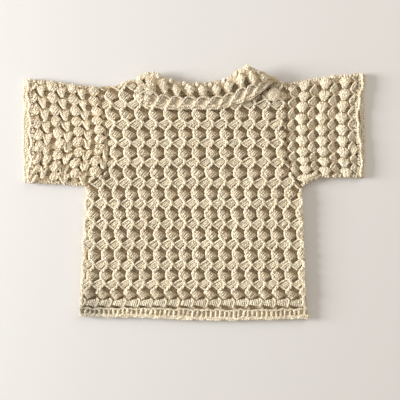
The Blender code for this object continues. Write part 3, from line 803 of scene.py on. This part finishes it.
def cell_grid(columns, rows):
    """Column and row of every cell between these limits."""
    u, v = np.meshgrid(np.arange(*columns), np.arange(*rows), indexing="ij")
    return np.stack([u.ravel(), v.ravel()], axis=-1).astype(float)


def bumps(x, y, repeat, table):
    """A relief that repeats, a sum of round hills: height times e to the minus distance squared."""
    total = 0.0
    for cx, cy, rx, ry, height in table:
        dx = (x - cx + repeat[0] / 2) % repeat[0] - repeat[0] / 2
        dy = (y - cy + repeat[1] / 2) % repeat[1] - repeat[1] / 2
        total = total + height * np.exp(-((dx / rx) ** 2) - (dy / ry) ** 2)
    return total


def barrel(lean, count, half_width, down, up, height, fall=0.0, knots=5):
    """Posts side by side that lean and bulge like the staves of a barrel.

    Each runs along the lean from down to up, its offset across shrinks with the square of the
    way along, and its height is a dome that falls towards the last post.
    """
    lean = np.radians(lean)
    along, across = np.array([np.cos(lean), np.sin(lean)]), np.array([np.sin(lean), -np.cos(lean)])
    posts = []
    for offset in np.linspace(-1, 1, count):
        s = np.linspace(-1, 1, knots)
        reach = np.where(s < 0, down, up) * np.sqrt(1 - 0.45 * offset**2)
        sideways = offset * half_width * (1 - 0.22 * s**2)
        xy = sideways[:, None] * across + (s * reach)[:, None] * along
        z = height * np.sqrt(1 - 0.5 * offset**2) * (1 - 0.75 * s**2) - 0.3 - fall * offset
        posts.append(np.column_stack([xy, z]))
    return np.array(posts)


def between(corners, count, rise, dome, knots, fall=0.0, drop=0.0):
    """Posts that fill the area between two sides, higher in the middle both ways.

    They fall from the first post to the last one, and drop along their length.
    """
    a, b, c, d = np.array(corners, float)
    made = []
    for f in (np.arange(count) + 0.5) / count:
        t = np.linspace(0, 1, knots)
        start, end = a + (b - a) * f, c + (d - c) * f
        xy = start + (end - start) * t[:, None]
        z = 4 * rise * t * (1 - t) + 4 * dome * f * (1 - f) + fall * (0.5 - f) + drop * (0.5 - t)
        made.append(np.column_stack([xy, z]))
    return np.array(made)


def along_line(line, margin, pitch, level, shift=0.0):
    """Evenly spaced points on a line moved to its left by a margin, and a unit vector along it."""
    line = np.array(line, float)
    steps = np.linalg.norm(np.diff(line, axis=0), axis=1)
    at = np.concatenate([[0], np.cumsum(steps)])
    count = max(2, int(round(at[-1] / pitch)) + 1)
    spots = np.linspace(shift, at[-1] - shift, count)
    xy = np.stack([np.interp(spots, at, line[:, i]) for i in range(2)], axis=1)
    way = np.gradient(xy, axis=0)
    way /= np.linalg.norm(way, axis=1)[:, None]
    xy = xy + margin * np.stack([-way[:, 1], way[:, 0]], axis=1)
    return np.column_stack([xy, np.full(count, level)]), way


def edging(line, margin, level, pitch=9.0, apart=0.95, shift=1.0, wander=0.25, sway=0.0):
    """A twisted strand of two plies that follows a line: one turn for each pitch.

    It wanders at random, and sways to and fro on a sine as wide as sway.
    """
    knots, way = along_line(line, margin, KNOTS_EVERY, level, shift)
    knots[:, 2] += cloth_up(knots)
    knots += RANDOM.normal(0, wander, knots.shape) * [1, 1, 0.4]
    swing = sway * np.sin(np.arange(len(knots)) * 1.25)[:, None]
    knots[:, :2] += swing * np.stack([-way[:, 1], way[:, 0]], axis=1)
    path = smooth(knots[None], 4)
    return plied(path, apart, round(lengths(path)[0, -1] / pitch), flat=0.8)


def rungs(line, margin, reach, pitch, level, spread=0.3, lean=0.0):
    """Short posts across a band: each starts at a margin from the line and is reach long.

    Its height rises by a parabola in the middle.
    """
    foot, way = along_line(line, margin, pitch, level, 1.5)
    across = np.stack([-way[:, 1], way[:, 0]], axis=1)
    ends = np.concatenate([foot[:, :2], foot[:, :2] + across * reach + way * lean], axis=1)
    ends += RANDOM.normal(0, spread, ends.shape)
    t = np.linspace(0, 1, 4)[:, None]
    xy = ends[:, None, :2] + (ends[:, None, 2:] - ends[:, None, :2]) * t
    z = (foot[:, 2] + cloth_up(foot))[:, None, None] + 4 * 0.6 * t * (1 - t)
    return smooth(np.concatenate([xy, z], axis=-1), 2)


# --- The body
def body_at(u, v):
    """x and y of a place in the body's lattice: u counts columns, v rows of blocks.

    x is the row's middle plus the columns from there times the row's pitch on that side.
    """
    rows = np.array(BODY_ROWS, float).T
    y, middle, left, right = (read_on(values, v + BLOCK_PLACE[1]) for values in rows)
    steps = u - (BODY_COLUMNS - 1) / 2 + BLOCK_PLACE[0]
    return np.stack([middle + steps * np.where(steps < 0, left, right), y], axis=-1)


def body_relief(x, y):
    """The front's height above its base: the sheet's thickness plus the hills of the stitch."""
    return SHEET + bumps(x, y, BODY_REPEAT, BODY_BUMPS)


def body_outline(neck):
    """The body's outline with this neck line."""
    right = [SIDE_RIGHT[::-1], ARMHOLE_RIGHT[::-1], SHOULDER_RIGHT[::-1]]
    left = [SHOULDER_LEFT[::-1], ARMHOLE_LEFT[::-1], SIDE_LEFT[::-1]]
    return panel_edge(HEM_SEAM[::-1], *right, neck[::-1], *left)


def body_cords(lattice, steps=4, turns=3):
    """One zigzag cord of two plies for each column, cut into a stretch for each repeat."""
    rows = len(BODY_ROWS) + 1
    knots = [(x, y - row * BODY_REPEAT[1], z) for row in range(rows) for x, y, z in CORD]
    columns = cell_grid((0, BODY_COLUMNS + 1), (-1, 0))
    shape = np.array(knots) + RANDOM.normal(0, 0.3, (len(columns), len(knots), 3)) * [1, 1, 0.5]
    paths = [lattice.laid(cell[None], one[None], 0.0, steps) for cell, one in zip(columns, shape)]
    paths = plied(np.concatenate(paths), 0.95, turns * rows, flat=0.8)
    each = len(CORD) * steps
    starts = range(0, paths.shape[1] - each, each)
    return np.concatenate([paths[:, i : i + each + 1] for i in starts])


def body_front(yarns):
    """The front of the body: its open sheet, and the cords, blocks and fans on it."""
    outline = body_outline(NECK_FRONT)
    lattice = Lattice(lying(body_at), BODY_REPEAT, FRONT_TOP)
    shape = (BODY_CELLS, BODY_WINDOW, BODY_REPEAT, BODY_GRID, [GAP_BIG, GAP_SMALL])
    cloth = yarns["cloth"]
    sheet = shell("body_front_cloth", lattice, shape, body_relief, outline, FRONT_BASE, cloth)
    cells = cell_grid((0, BODY_COLUMNS), (-1, len(BODY_ROWS)))
    cords, blocks, fans = Skein(), Skein(), Skein()

    paths = body_cords(lattice)
    radius = 1.3 + 0.22 * np.cos(2 * np.pi * np.linspace(0, 1, paths.shape[1]))
    cords.add(pulled_in(paths, outline, 1.2), radius, tone=1.04, beads=0.15, grain=0.1)
    for line in (SIDE_LEFT, SIDE_RIGHT):
        strand = edging(line, -2.8, FRONT_TOP + 0.9, pitch=6.5, apart=1.1, sway=0.9, wander=0.5)
        cords.add(strand, 1.15, tone=1.05, beads=0.2, grain=GRAIN)

    posts = between(BLOCK, count=5, rise=1.7, dome=1.3, knots=7)
    paths = pulled_in(lattice.laid(cells, posts, 0.35), outline, 1.4)
    look = {"tone": BLOCK_PAINTED_SHADING, "spread": 0.05, "beads": 0.25, "grain": 0.24}
    blocks.add_posts(paths, 0.86, turns=4.3, apart=0.75, sides=4, **look)

    last = cells[:, 1] == len(BODY_ROWS) - 1
    hem_cells, cells = cells[last], cells[~last]
    posts = between(HEM_FAN, count=6, rise=0.9, dome=0.6, knots=6)
    paths = pulled_in(lattice.laid(hem_cells, posts, 0.2), outline, 0.9)
    fans.add_posts(paths, 0.8, turns=3, apart=0.4, tone=1.04, spread=0.06, beads=0.15)
    paths = plied(lattice.laid(hem_cells, [HEM_FAN_EDGE], 0.3, 4), 0.5, turns=3, flat=0.8)
    fans.add(pulled_in(paths, outline, 0.9), 0.85, tone=1.16, sides=5, beads=0.15)
    chains = plied(lattice.laid(cells, [FAN_CHAIN], 0.3, 4), 0.6, turns=3, flat=0.8)
    fans.add(pulled_in(chains, outline, 1.2), 0.8, tone=1.07, sides=5)
    paths = lattice.laid(cells, [FAN_EDGE], 0.3, 3)
    fans.add(pulled_in(paths, outline, 1.2), 1.05, tone=1.09)
    posts = between(FAN, count=3, rise=0.8, dome=0.5, knots=6)
    paths = pulled_in(lattice.laid(cells, posts, 0.3), outline, 1.4)
    fans.add_posts(paths, 0.78, turns=3, apart=0.6, sides=4, tone=1.04, spread=0.1, beads=0.2)

    dome = barrel(60, 8, half_width=6.6, down=8.6, up=8.6, height=3.2, knots=7)
    dome += [*SHOULDER_KNOB, FRONT_TOP + 3.0]
    look = {"tone": 1.1, "spread": 0.06, "beads": 0.2}
    blocks.add_posts(smooth(dome, 2), 1.1, turns=4, apart=0.6, sides=6, **look)
    cords = cords.wind("body_front_cords", yarns["yarn"])
    fans = fans.wind("body_front_fans", yarns["yarn"])
    return sheet, [blocks.wind("body_front_blocks", yarns["blocks"]), cords, fans]


def left_sleeve():
    """The left sleeve's outline, scalloped along its top and its underarm edge."""
    top = scalloped(SLEEVE_LEFT_TOP, pitch=12.9, first=-206.2, depth=1.7)
    under = scalloped(SLEEVE_LEFT_UNDER, pitch=12.9, first=-203.5, depth=-1.2)
    return panel_edge(top, CUFF_SEAM_LEFT, under, ARMHOLE_LEFT)


def right_sleeve():
    """The right sleeve's outline, scalloped in the same way."""
    top = scalloped(SLEEVE_RIGHT_TOP, pitch=12.85, first=140.0, depth=1.7)
    under = scalloped(SLEEVE_RIGHT_UNDER, pitch=12.85, first=141.0, depth=-1.2)
    return panel_edge(CUFF_SEAM_RIGHT, top[::-1], ARMHOLE_RIGHT, under)


def hem_band():
    """The hem's outline, its lower rim scalloped."""
    return panel_edge(scalloped(HEM_RIM, pitch=17.0, first=-140.0, depth=-0.7), HEM_SEAM)


# --- The sleeves
def sleeve_at(rows, first, pitch, columns):
    """The lattice of a sleeve, from its table: rows of blocks that tilt and shift sideways.

    x is the first column's, plus u times the pitch, plus the row's shift. y goes in a straight
    line from the row's height at the first column to its height at the last one.
    """
    inner, outer, shift = np.array(rows, float).T

    def at(u, v):
        share = u / (columns - 1)
        y = read_on(inner, v) * (1 - share) + read_on(outer, v) * share
        x = first + pitch * u + np.interp(v, np.arange(len(shift)), shift)
        return np.stack([x, y], axis=-1)

    return at


def bud_posts(count=6):
    """Posts that spread from a neck below into a round head, each a quadratic curve."""
    t = np.linspace(0, 1, 7)[:, None]
    posts = []
    for angle in np.radians(np.linspace(176, 4, count)):
        end = np.array([6.5 * np.cos(angle), 0.9 + 4.8 * np.sin(angle)])
        start = np.array([0.16 * end[0], -7.0])
        bend = np.array([0.62 * end[0], -2.2 + 0.35 * end[1]])
        xy = (1 - t) ** 2 * start + 2 * t * (1 - t) * bend + t**2 * end
        rise = 1.3 + 1.1 * np.sin(angle)
        posts.append(np.column_stack([xy, 0.2 + rise * np.sin(np.pi * t[:, 0] ** 0.8)]))
    return np.array(posts)


def tufts(places, level):
    """Round knobs of four short posts each."""
    made = []
    for x, y, half, lean in places:
        posts = barrel(lean, 4, 0.7 * half, half, half, 0.35 * half)
        posts += [x, y, level + cloth_up(np.array([x, y]))]
        made.append(smooth(posts, 2))
    return np.concatenate(made)


def sleeve(side, yarns, outline, at, cells, stitch, uneven, shapes, knobs, edges, wound):
    """One sleeve's upper layer: its open sheet, and two skeins of the strands on it.

    A stitch is the repeat's window, gaps and hills, which add to the sheet's thickness. A shape
    is its posts, radius, tone, how far its plies are apart and its skein. An edge is a line, a
    margin and how far its posts reach.
    """
    lattice = Lattice(lying(at), SLEEVE_REPEAT, FRONT_TOP)
    window, gaps, hills = stitch

    def relief(x, y):
        return SHEET + bumps(x, y, SLEEVE_REPEAT, hills)

    name, shape = f"sleeve_{side}", (cells, window, SLEEVE_REPEAT, SLEEVE_GRID, gaps)
    cloth = yarns["cloth"]
    sheet = shell(name + "_cloth", lattice, shape, relief, outline, FRONT_BASE, cloth)
    skeins = {"blocks": Skein(), "fans": Skein()}
    spots = cell_grid(*cells)
    drift = np.where(spots[:, 1] > UNEVEN_FROM_ROW, uneven, 0.35)
    for posts, radius, tone, apart, skein in shapes:
        paths = pulled_in(lattice.laid(spots, posts, drift), outline, 1.4, most=0.3)
        skeins[skein].add_posts(paths, radius, 3, apart, tone=tone, spread=0.08, beads=0.18)
    blocks = skeins["blocks"]
    posts = pulled_in(tufts(knobs, FRONT_TOP + 0.4), outline, 1.4)
    blocks.add_posts(posts, 0.9, turns=3, apart=0.8, tone=1.05, spread=0.1, beads=0.2)
    for line, margin, reach in edges:
        posts = rungs(line, margin, reach, pitch=3.3, level=FRONT_TOP - 0.9, spread=0.7)
        posts = pulled_in(posts, outline, 0.7)
        blocks.add_posts(posts, 1.0, turns=1.5, apart=0.8, tone=1.06, spread=0.14, beads=0.25)
    return sheet, [skeins[key].wind(f"{name}_{key}", yarns[yarn]) for key, yarn in wound.items()]


def sleeves(yarns):
    """Both sleeves' upper layers, by the names of their nodes."""
    barrels = barrel(52, 5, half_width=5.0, down=6.1, up=6.1, height=2.7, knots=7)
    left = sleeve(
        "left",
        yarns,
        outline=left_sleeve(),
        at=sleeve_at(LEFT_ROWS, first=-204.8, pitch=25.8, columns=4),
        cells=((-1, 6), (-1, 11)),
        stitch=(LEFT_WINDOW, LEFT_GAPS, LEFT_BUMPS),
        uneven=1.0,
        shapes=[
            (barrels, 0.95, 1.1, 0.95, "blocks"),
            (between(CUP, 5, rise=0.5, dome=0.7, knots=7, drop=-1.3), 0.85, 1.12, 0.7, "fans"),
            ([CUP_STRAND], 0.9, 1.24, 0.6, "fans"),
            ([CUP_TICK], 0.9, 1.2, 0.5, "fans"),
        ],
        knobs=LEFT_KNOBS,
        edges=[(SLEEVE_LEFT_TOP, 0.9, 3.6), (SLEEVE_LEFT_UNDER, 0.9, 3.4)],
        wound={"blocks": "blocks", "fans": "yarn"},
    )
    right = sleeve(
        "right",
        yarns,
        outline=right_sleeve(),
        at=sleeve_at(RIGHT_ROWS, first=136.6, pitch=25.7, columns=3),
        cells=((-1, 5), (-1, 11)),
        stitch=(RIGHT_WINDOW, RIGHT_GAPS, RIGHT_BUMPS),
        uneven=0.4,
        shapes=[
            # Painted light and shade: the buds are lit by their tone 1.08, and the rhombs are
            # shaded by their tone 0.86 and by the blocks' yarn that their skein is wound in.
            (bud_posts(7), 0.95, 1.08, 0.85, "blocks"),
            (between(RHOMB, 6, rise=0.2, dome=0.1, knots=6, fall=2.6), 0.95, 0.86, 0.0, "fans"),
            ([RHOMB_STRAND], 0.85, 1.18, 0.55, "blocks"),
            ([RHOMB_LOW], 0.7, 0.96, 0.3, "blocks"),
        ],
        knobs=RIGHT_KNOBS,
        edges=[(SLEEVE_RIGHT_TOP, -4.4, 3.6), (SLEEVE_RIGHT_UNDER, 0.9, 3.4)],
        wound={"blocks": "yarn", "fans": "blocks"},
    )
    return {"sleeve_left_front": left, "sleeve_right_front": right}


# --- Bands: hem and cuffs
def band(name, outline, base, level, pitch, cloth):
    """A plain strip of cloth, level with its folds, on a square grid."""
    low, high = outline.min(axis=0) - 0.01, outline.max(axis=0)

    def at(u, v):
        return np.stack([low[0] + u * pitch, high[1] - v * pitch], axis=-1)

    def relief(x, y):
        return level + 0 * x

    size = np.ceil((high - low) / pitch).astype(int)
    shape = (((0, size[0]), (0, size[1])), (0.0, 0.0), np.array([pitch, pitch]), (1, 1), [])
    lattice = Lattice(lying(at), (pitch, pitch), 0.0)
    return shell(name, lattice, shape, relief, outline, base, cloth, least=1.0)


def hem(yarns):
    """The front of the hem: posts like a ladder's rungs between two strands and one."""
    outline = hem_band()
    sheet = band("hem_front_cloth", outline, FRONT_BASE, 2.7, FINE_GRID, yarns["cloth"])
    skein = Skein()
    posts = rungs(HEM_RIM, 3.4, 8.8, HEM_POST_PITCH, FRONT_TOP + 0.1, spread=0.5, lean=0.8)
    posts = pulled_in(posts, outline, 0.6)
    skein.add_posts(posts, 1.25, turns=3, apart=1.15, tone=1.05, spread=0.1, beads=0.2)
    for margin, level in ((1.3, -0.8), (3.2, -0.1)):
        low = edging(HEM_RIM, margin, FRONT_TOP + level, pitch=5.0, apart=0.9, wander=0.5, sway=0.3)
        skein.add(low, 1.1, tone=1.1, beads=0.25, grain=GRAIN)
    level = FRONT_TOP + 0.8
    high = edging(HEM_SEAM[::-1], -0.4, level, pitch=5.5, apart=0.6, wander=0.5, sway=0.5)
    skein.add(high, 0.85, tone=1.08, beads=0.25)
    return sheet, [skein.wind("hem_front_yarn", yarns["yarn"])]


def cuffs(yarns):
    """Both layers of both cuffs, by the names of their nodes."""
    made = {}
    rows = (
        ("left", CUFF_SEAM_LEFT, CUFF_FRONT_LEFT, CUFF_BACK_LEFT),
        ("right", CUFF_SEAM_RIGHT, CUFF_FRONT_RIGHT, CUFF_BACK_RIGHT),
    )
    for side, seam, front, back in rows:
        upper, lower = f"cuff_{side}_front", f"cuff_{side}_back"
        outline, cloth = panel_edge(seam, front[::-1]), yarns["cloth"]
        sheet = band(upper + "_cloth", outline, FRONT_BASE, 2.2, FINE_GRID, cloth)
        skein = Skein()
        outer = edging(front, 1.7, FRONT_TOP + 0.4, pitch=13.0, apart=0.6, wander=0.4, sway=1.1)
        skein.add(outer, 1.05, tone=1.2, beads=0.15, grain=0.08)
        posts = rungs(front, 3.0, 3.2, pitch=3.1, level=FRONT_TOP - 0.6, spread=0.8, lean=0.6)
        skein.add_posts(posts, 1.0, turns=2, apart=0.9, tone=1.05, spread=0.12, beads=0.2)
        under = panel_edge(seam, back[::-1])
        low = band(lower + "_cloth", under, BACK_BASE, 1.4, FINE_GRID, cloth)
        rim = Skein()
        for margin, radius in ((1.2, 1.0), (3.4, 1.2), (5.8, 1.1)):
            strand = edging(back, margin, 2.3, pitch=6.0, apart=0.7, wander=0.5)
            rim.add(strand, radius, tone=0.92, beads=0.12, grain=0.08)
        made[upper] = (sheet, [skein.wind(upper + "_yarn", yarns["yarn"])])
        made[lower] = (low, [rim.wind(lower + "_yarn", yarns["back rims"])])
    return made


# --- The collar
def collar_table(x):
    """Fold, free edge, lift of the fold and lift of the tip at these places along the collar."""
    table = np.array(COLLAR, float)
    return [np.interp(x, table[:, 0], table[:, i]) for i in range(1, 5)]


def collar_sides(x, t):
    """The outer and the inner side of the folded band.

    t runs from -1 at the neck, under the fold at 0, to 1 at the free edge, and y and z are read
    from points that the table places along the section.
    """
    fold, free, lift, tip = collar_table(x)
    neck = np.interp(x, *np.array(NECK_FRONT, float).T) + SEAM_GAP
    neck = np.minimum(neck, fold - 6.0)
    length = fold - free
    low, high = FRONT_BASE, FALL_BASE
    outer = [
        # t, y, z
        (-1.0, neck, low + 0 * x),
        (-0.12, fold - 3.0, low + 0.85 * lift),
        (-0.05, fold - 0.9, low + 1.2 + lift),
        (0.0, fold, low + WALL + lift),
        (0.04, fold - 0.8, high + 1.6 + lift),
        (0.16, fold - 0.16 * length, high + WALL + 0.4 + 0.9 * lift + 0.1 * tip),
        (0.38, fold - 0.38 * length, high + WALL + 0.2 + 0.6 * lift + 0.4 * tip),
        (0.60, fold - 0.60 * length, high + WALL + 0.35 * lift + 0.65 * tip),
        (0.80, fold - 0.80 * length, high + WALL + 0.1 * lift + 0.9 * tip),
        (0.96, free + 0.5, high + 2.2 + tip),
        (1.0, free + 0.2, high + 1.2 + tip),
    ]
    inner = [
        (-1.0, neck, low + WALL + 0 * x),
        (-0.12, fold - 3.2, low + WALL - 0.2 + 0.95 * lift),
        (0.0, fold - 3.3, high - 0.1 + lift),
        (0.16, fold - 0.16 * length - 0.8, high + 0.8 * lift + 0.1 * tip),
        (0.38, fold - 0.38 * length, high + 0.6 * lift + 0.4 * tip),
        (0.60, fold - 0.60 * length, high + 0.35 * lift + 0.65 * tip),
        (1.0, free + 1.2, high + tip),
    ]
    made = []
    for side in (outer, inner):
        knots = [row[0] for row in side]
        at = np.clip(np.searchsorted(knots, t, side="right") - 1, 0, len(side) - 2)
        start, end = np.array(knots)[at], np.array(knots)[at + 1]
        share = (t - start) / (end - start)
        y, z = (np.stack([row[k] for row in side]) for k in (1, 2))
        place = [x]
        for values in (y, z):
            low_end = np.take_along_axis(values, at[None], axis=0)[0]
            high_end = np.take_along_axis(values, at[None] + 1, axis=0)[0]
            place.append(low_end * (1 - share) + high_end * share)
        made.append(np.stack(place, axis=-1))
    return made


def collar_at(u, v):
    """x, y and height on the collar: u counts blocks, and v runs from fold to free edge.

    x is read between the blocks' places, and goes on in whole repeats past both ends.
    """
    index = np.arange(len(COLLAR_BLOCKS))
    x = np.interp(u, index, COLLAR_BLOCKS)
    x = x + (np.clip(u - index[-1], 0, None) + np.clip(u, None, 0)) * COLLAR_REPEAT[0]
    x = np.clip(x, COLLAR[0][0], COLLAR[-1][0])
    return collar_sides(x, np.clip(v, -0.05, 1.0))[0]


def collar_sheet(cloth):
    """The folded band's cloth, with its relief and with the gaps between its blocks.

    A hill of the relief is its height times e to the minus (distance over reach) squared.
    """
    columns, under, over = COLLAR_GRID
    along = np.linspace(COLLAR[0][0], COLLAR[-1][0], columns)
    around = np.concatenate([np.linspace(-1, -0.12, under)[:-1], np.linspace(-0.12, 1, over)])
    x, t = np.meshgrid(along, around, indexing="ij")
    outer, inner = collar_sides(x, t)

    def place(x, t):
        """The column, and the way from its block, or from the next one, along and up in mm."""
        u = np.interp(x, COLLAR_BLOCKS, np.arange(len(COLLAR_BLOCKS)))
        across = (u % 1.0) * COLLAR_REPEAT[0]
        across = np.where(across > COLLAR_RIGHT, across - COLLAR_REPEAT[0], across)
        return u, np.stack([across, -(t - COLLAR_BLOCK_AT) * COLLAR_REPEAT[1]], axis=-1)

    _, spot = place(x, t)
    rise = 0.0
    for cx, cy, reach, height in COLLAR_BUMPS:
        away = np.hypot(spot[..., 0] - cx, spot[..., 1] - cy) / reach
        rise = rise + height * np.exp(-away * away)
    outer[..., 2] += np.where(t > 0.05, rise, 0)
    u, spot = place((x[1:, 1:] + x[:-1, :-1]) / 2, (t[1:, 1:] + t[:-1, :-1]) / 2)
    is_open = inside(spot, np.array(COLLAR_GAP)) & (u > COLLAR_OPEN[0]) & (u < COLLAR_OPEN[1])
    centre = (outer[1:, 1:] + outer[:-1, :-1]) / 2
    for cx, cy, reach in COLLAR_HOLLOWS:
        near = np.hypot(centre[..., 0] - cx, centre[..., 1] - cy) < reach
        is_open |= near & (t[1:, 1:] > 0.1)
    return two_sided("collar_front_cloth", inner, outer, ~is_open, cloth, tone=1.15)


def collar(yarns):
    """The folded collar: its sheet, the blocks, and the shells with the strands of its edge."""
    sheet = collar_sheet(yarns["cloth"])
    lattice = Lattice(collar_at, COLLAR_REPEAT, 0.0)
    index = np.arange(-1, len(COLLAR_BLOCKS))
    cells = np.stack([index, np.full(len(index), COLLAR_BLOCK_AT)], axis=-1)
    knobs, shells = Skein(), Skein()
    for corners, count, level in ((COLLAR_BLOCK, 6, 0.6), (FOLD_KNOB, 2, -0.2)):
        posts = between(corners, count, rise=1.5, dome=1.6, knots=7) + [0, 0, level]
        paths = lattice.laid(cells[2:], posts, 0.5)
        knobs.add_posts(paths, 1.0, turns=3, apart=0.85, tone=1.12, spread=0.06, beads=0.25)
    posts = tufts(COLLAR_KNOBS, FALL_BASE + WALL + 1.6)
    knobs.add_posts(posts, 1.0, turns=3, apart=0.8, tone=1.08, spread=0.1, beads=0.25)
    posts = between(COLLAR_VALLEY, 5, rise=0.3, dome=0.2, knots=6) - [0, 0, 0.4]
    paths = lattice.laid(cells, posts, 0.5)
    shells.add_posts(paths, 1.0, turns=2, apart=0.8, tone=0.98, spread=0.1, beads=0.25)
    posts = between(COLLAR_SHELL, 9, rise=-0.9, dome=-2.4, knots=7) + [0, 0, 2.3]
    # The shells' posts run from dark at the left to light at the right: painted shade and painted
    # light, as in a hollow lit from the left.
    painted_shading = np.linspace(0.72, 1.16, 9)
    shells.add(lattice.laid(cells, posts, 0.2), 1.35, tone=painted_shading, spread=0.02)
    paths = plied(lattice.laid(cells, [COLLAR_EDGE], 0.3, 4), 0.5, turns=3, flat=0.8)
    shells.add(paths, 0.9, tone=1.1, beads=0.2, grain=GRAIN)
    x = np.arange(COLLAR[0][0] + 2.0, COLLAR[-1][0] - 1.0, 4.0)
    for share, level in ((0.9, 0.3), (0.985, -0.2)):
        low = collar_sides(x, np.full(len(x), share))[0] + [0, 0, level]
        low += RANDOM.normal(0, 0.4, low.shape)
        paths = plied(smooth(low[None], 4), 0.9, turns=34, flat=0.8)
        shells.add(paths, 1.05, tone=1.12, beads=0.25, grain=GRAIN)
    tails = np.array(COLLAR_TAILS, float).reshape(-1, 3, 2)
    level = FALL_BASE + WALL + np.array([1.6, 1.8, 0.4])
    tails = np.concatenate([tails, np.broadcast_to(level[:, None], (len(tails), 3, 1))], axis=-1)
    knobs.add(plied(smooth(tails, 7), 0.8, turns=5), 0.95, tone=1.12, beads=0.2)
    return sheet, [
        knobs.wind("collar_front_blocks", yarns["yarn"]),
        shells.wind("collar_front_shells", yarns["blocks"]),
    ]


# --- The back
def backs(yarns):
    """The layer underneath, by the names of its nodes, each with nothing worked on it.

    They are uncut shells, level where they rest. The body's has the stitches in low relief: its
    thickness plus a share of the front's hills, mirrored.
    """
    cloth = yarns["underneath"]
    lattice = Lattice(lying(body_at), BODY_REPEAT, 0.0)

    def relief(x, y):
        return BACK_SHEET + BACK_RELIEF * bumps(-x, y, BODY_REPEAT, BODY_BUMPS)

    shape = (BODY_CELLS, BODY_WINDOW, BODY_REPEAT, BACK_GRID, [])
    outline = body_outline(NECK_BACK)
    base = BACK_BASE
    sheet = shell("body_back_cloth", lattice, shape, relief, outline, base, cloth, least=0.9)
    made = {"body_back": (sheet, [])}
    rows = (
        ("sleeve_left_back", left_sleeve(), 1.3),
        ("sleeve_right_back", right_sleeve(), 1.3),
        ("hem_back", hem_band(), 1.6),
        ("collar_back", panel_edge(NECK_BACK, COLLAR_BACK_RIM), 2.2),
    )
    for name, line, level in rows:
        made[name] = (band(name + "_cloth", line, base, level, PLAIN_GRID, cloth), [])
    return made


# --- Stage
PHOTO_MM = 508.0  # what the photograph's frame is wide, at the garment
CAMERA_HEIGHT = 900.0  # mm above the garment's front
CAMERA_OVER = (7.3, -8.1)  # the place that it looks down on
FRONT_LEVEL = 6  # mm, the front's height above the floor
SENSOR = 36.0  # mm
FLOOR_REACH = 3.0  # m
FLOOR_BELOW = 0.0003  # m
PAPER = (0.72, 0.71, 0.70, 1)
ROOM_COLOUR = (1.0, 0.905, 0.79, 1)
ROOM_STRENGTH = 0.48
LAMPS = [
    # name, place in m, size in m, watts, colour
    ("window light", (-2.15, 0.17, 0.68), 0.8, 90.0, (0.955, 0.985, 1.0)),
    ("room fill", (1.0, 1.3, 1.2), 1.5, 12.0, (1.0, 0.95, 0.88)),
]


def stage():
    """The pale paper that the garment lies on."""
    floor = bpy.data.meshes.new("floor")
    far = FLOOR_REACH
    corners = [(-far, -far, 0), (far, -far, 0), (far, far, 0), (-far, far, 0)]
    floor.from_pydata(corners, [], [(0, 1, 2, 3)])
    paper = bpy.data.materials.new("pale floor")
    paper.use_nodes = True
    shader = paper.node_tree.nodes["Principled BSDF"]
    shader.inputs["Base Color"].default_value = PAPER
    shader.inputs["Roughness"].default_value = 0.9
    floor.materials.append(paper)
    made = placed("floor", floor)
    made.location.z = -FLOOR_BELOW


def lamp(name, place, size, power, colour):
    """A square soft light that looks at the middle of the garment."""
    light = bpy.data.lights.new(name, "AREA")
    light.size, light.energy, light.color = size, power, colour
    made = placed(name, light)
    made.location = place
    made.rotation_mode = "QUATERNION"
    made.rotation_quaternion = (-made.location).to_track_quat("-Z", "Y")


def lights_and_camera():
    """A low window to the left, a dim room, and a camera that looks straight down."""
    for row in LAMPS:
        lamp(*row)
    world = bpy.data.worlds.new("room")
    world.use_nodes = True
    world.node_tree.nodes["Background"].inputs["Color"].default_value = ROOM_COLOUR
    world.node_tree.nodes["Background"].inputs["Strength"].default_value = ROOM_STRENGTH
    bpy.context.scene.world = world
    bpy.context.scene.view_settings.view_transform = "Standard"
    camera = bpy.data.cameras.new("camera")
    camera.sensor_width = SENSOR
    camera.lens = camera.sensor_width * CAMERA_HEIGHT / PHOTO_MM
    made = placed("camera", camera)
    made.location = [value * MM for value in (*CAMERA_OVER, CAMERA_HEIGHT + FRONT_LEVEL)]
    bpy.context.scene.camera = made


def dressed(node, sheet, pieces):
    """Hides the panel's part from model.glb, and attaches its sheet and the yarn worked on it to
    the root body.
    """
    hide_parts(node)
    for piece in [sheet, *pieces]:
        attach(piece, "root")


def main():
    """Makes and dresses every panel, and sets the stage."""
    yarns = {key: cotton_yarn(*row) for key, row in YARNS.items()}
    panels = backs(yarns)
    panels["body_front"] = body_front(yarns)
    panels.update(sleeves(yarns))
    panels["hem_front"] = hem(yarns)
    panels.update(cuffs(yarns))
    panels["collar_front"] = collar(yarns)
    for node, (sheet, pieces) in panels.items():
        dressed(node, sheet, pieces)
    stage()
    lights_and_camera()


main()
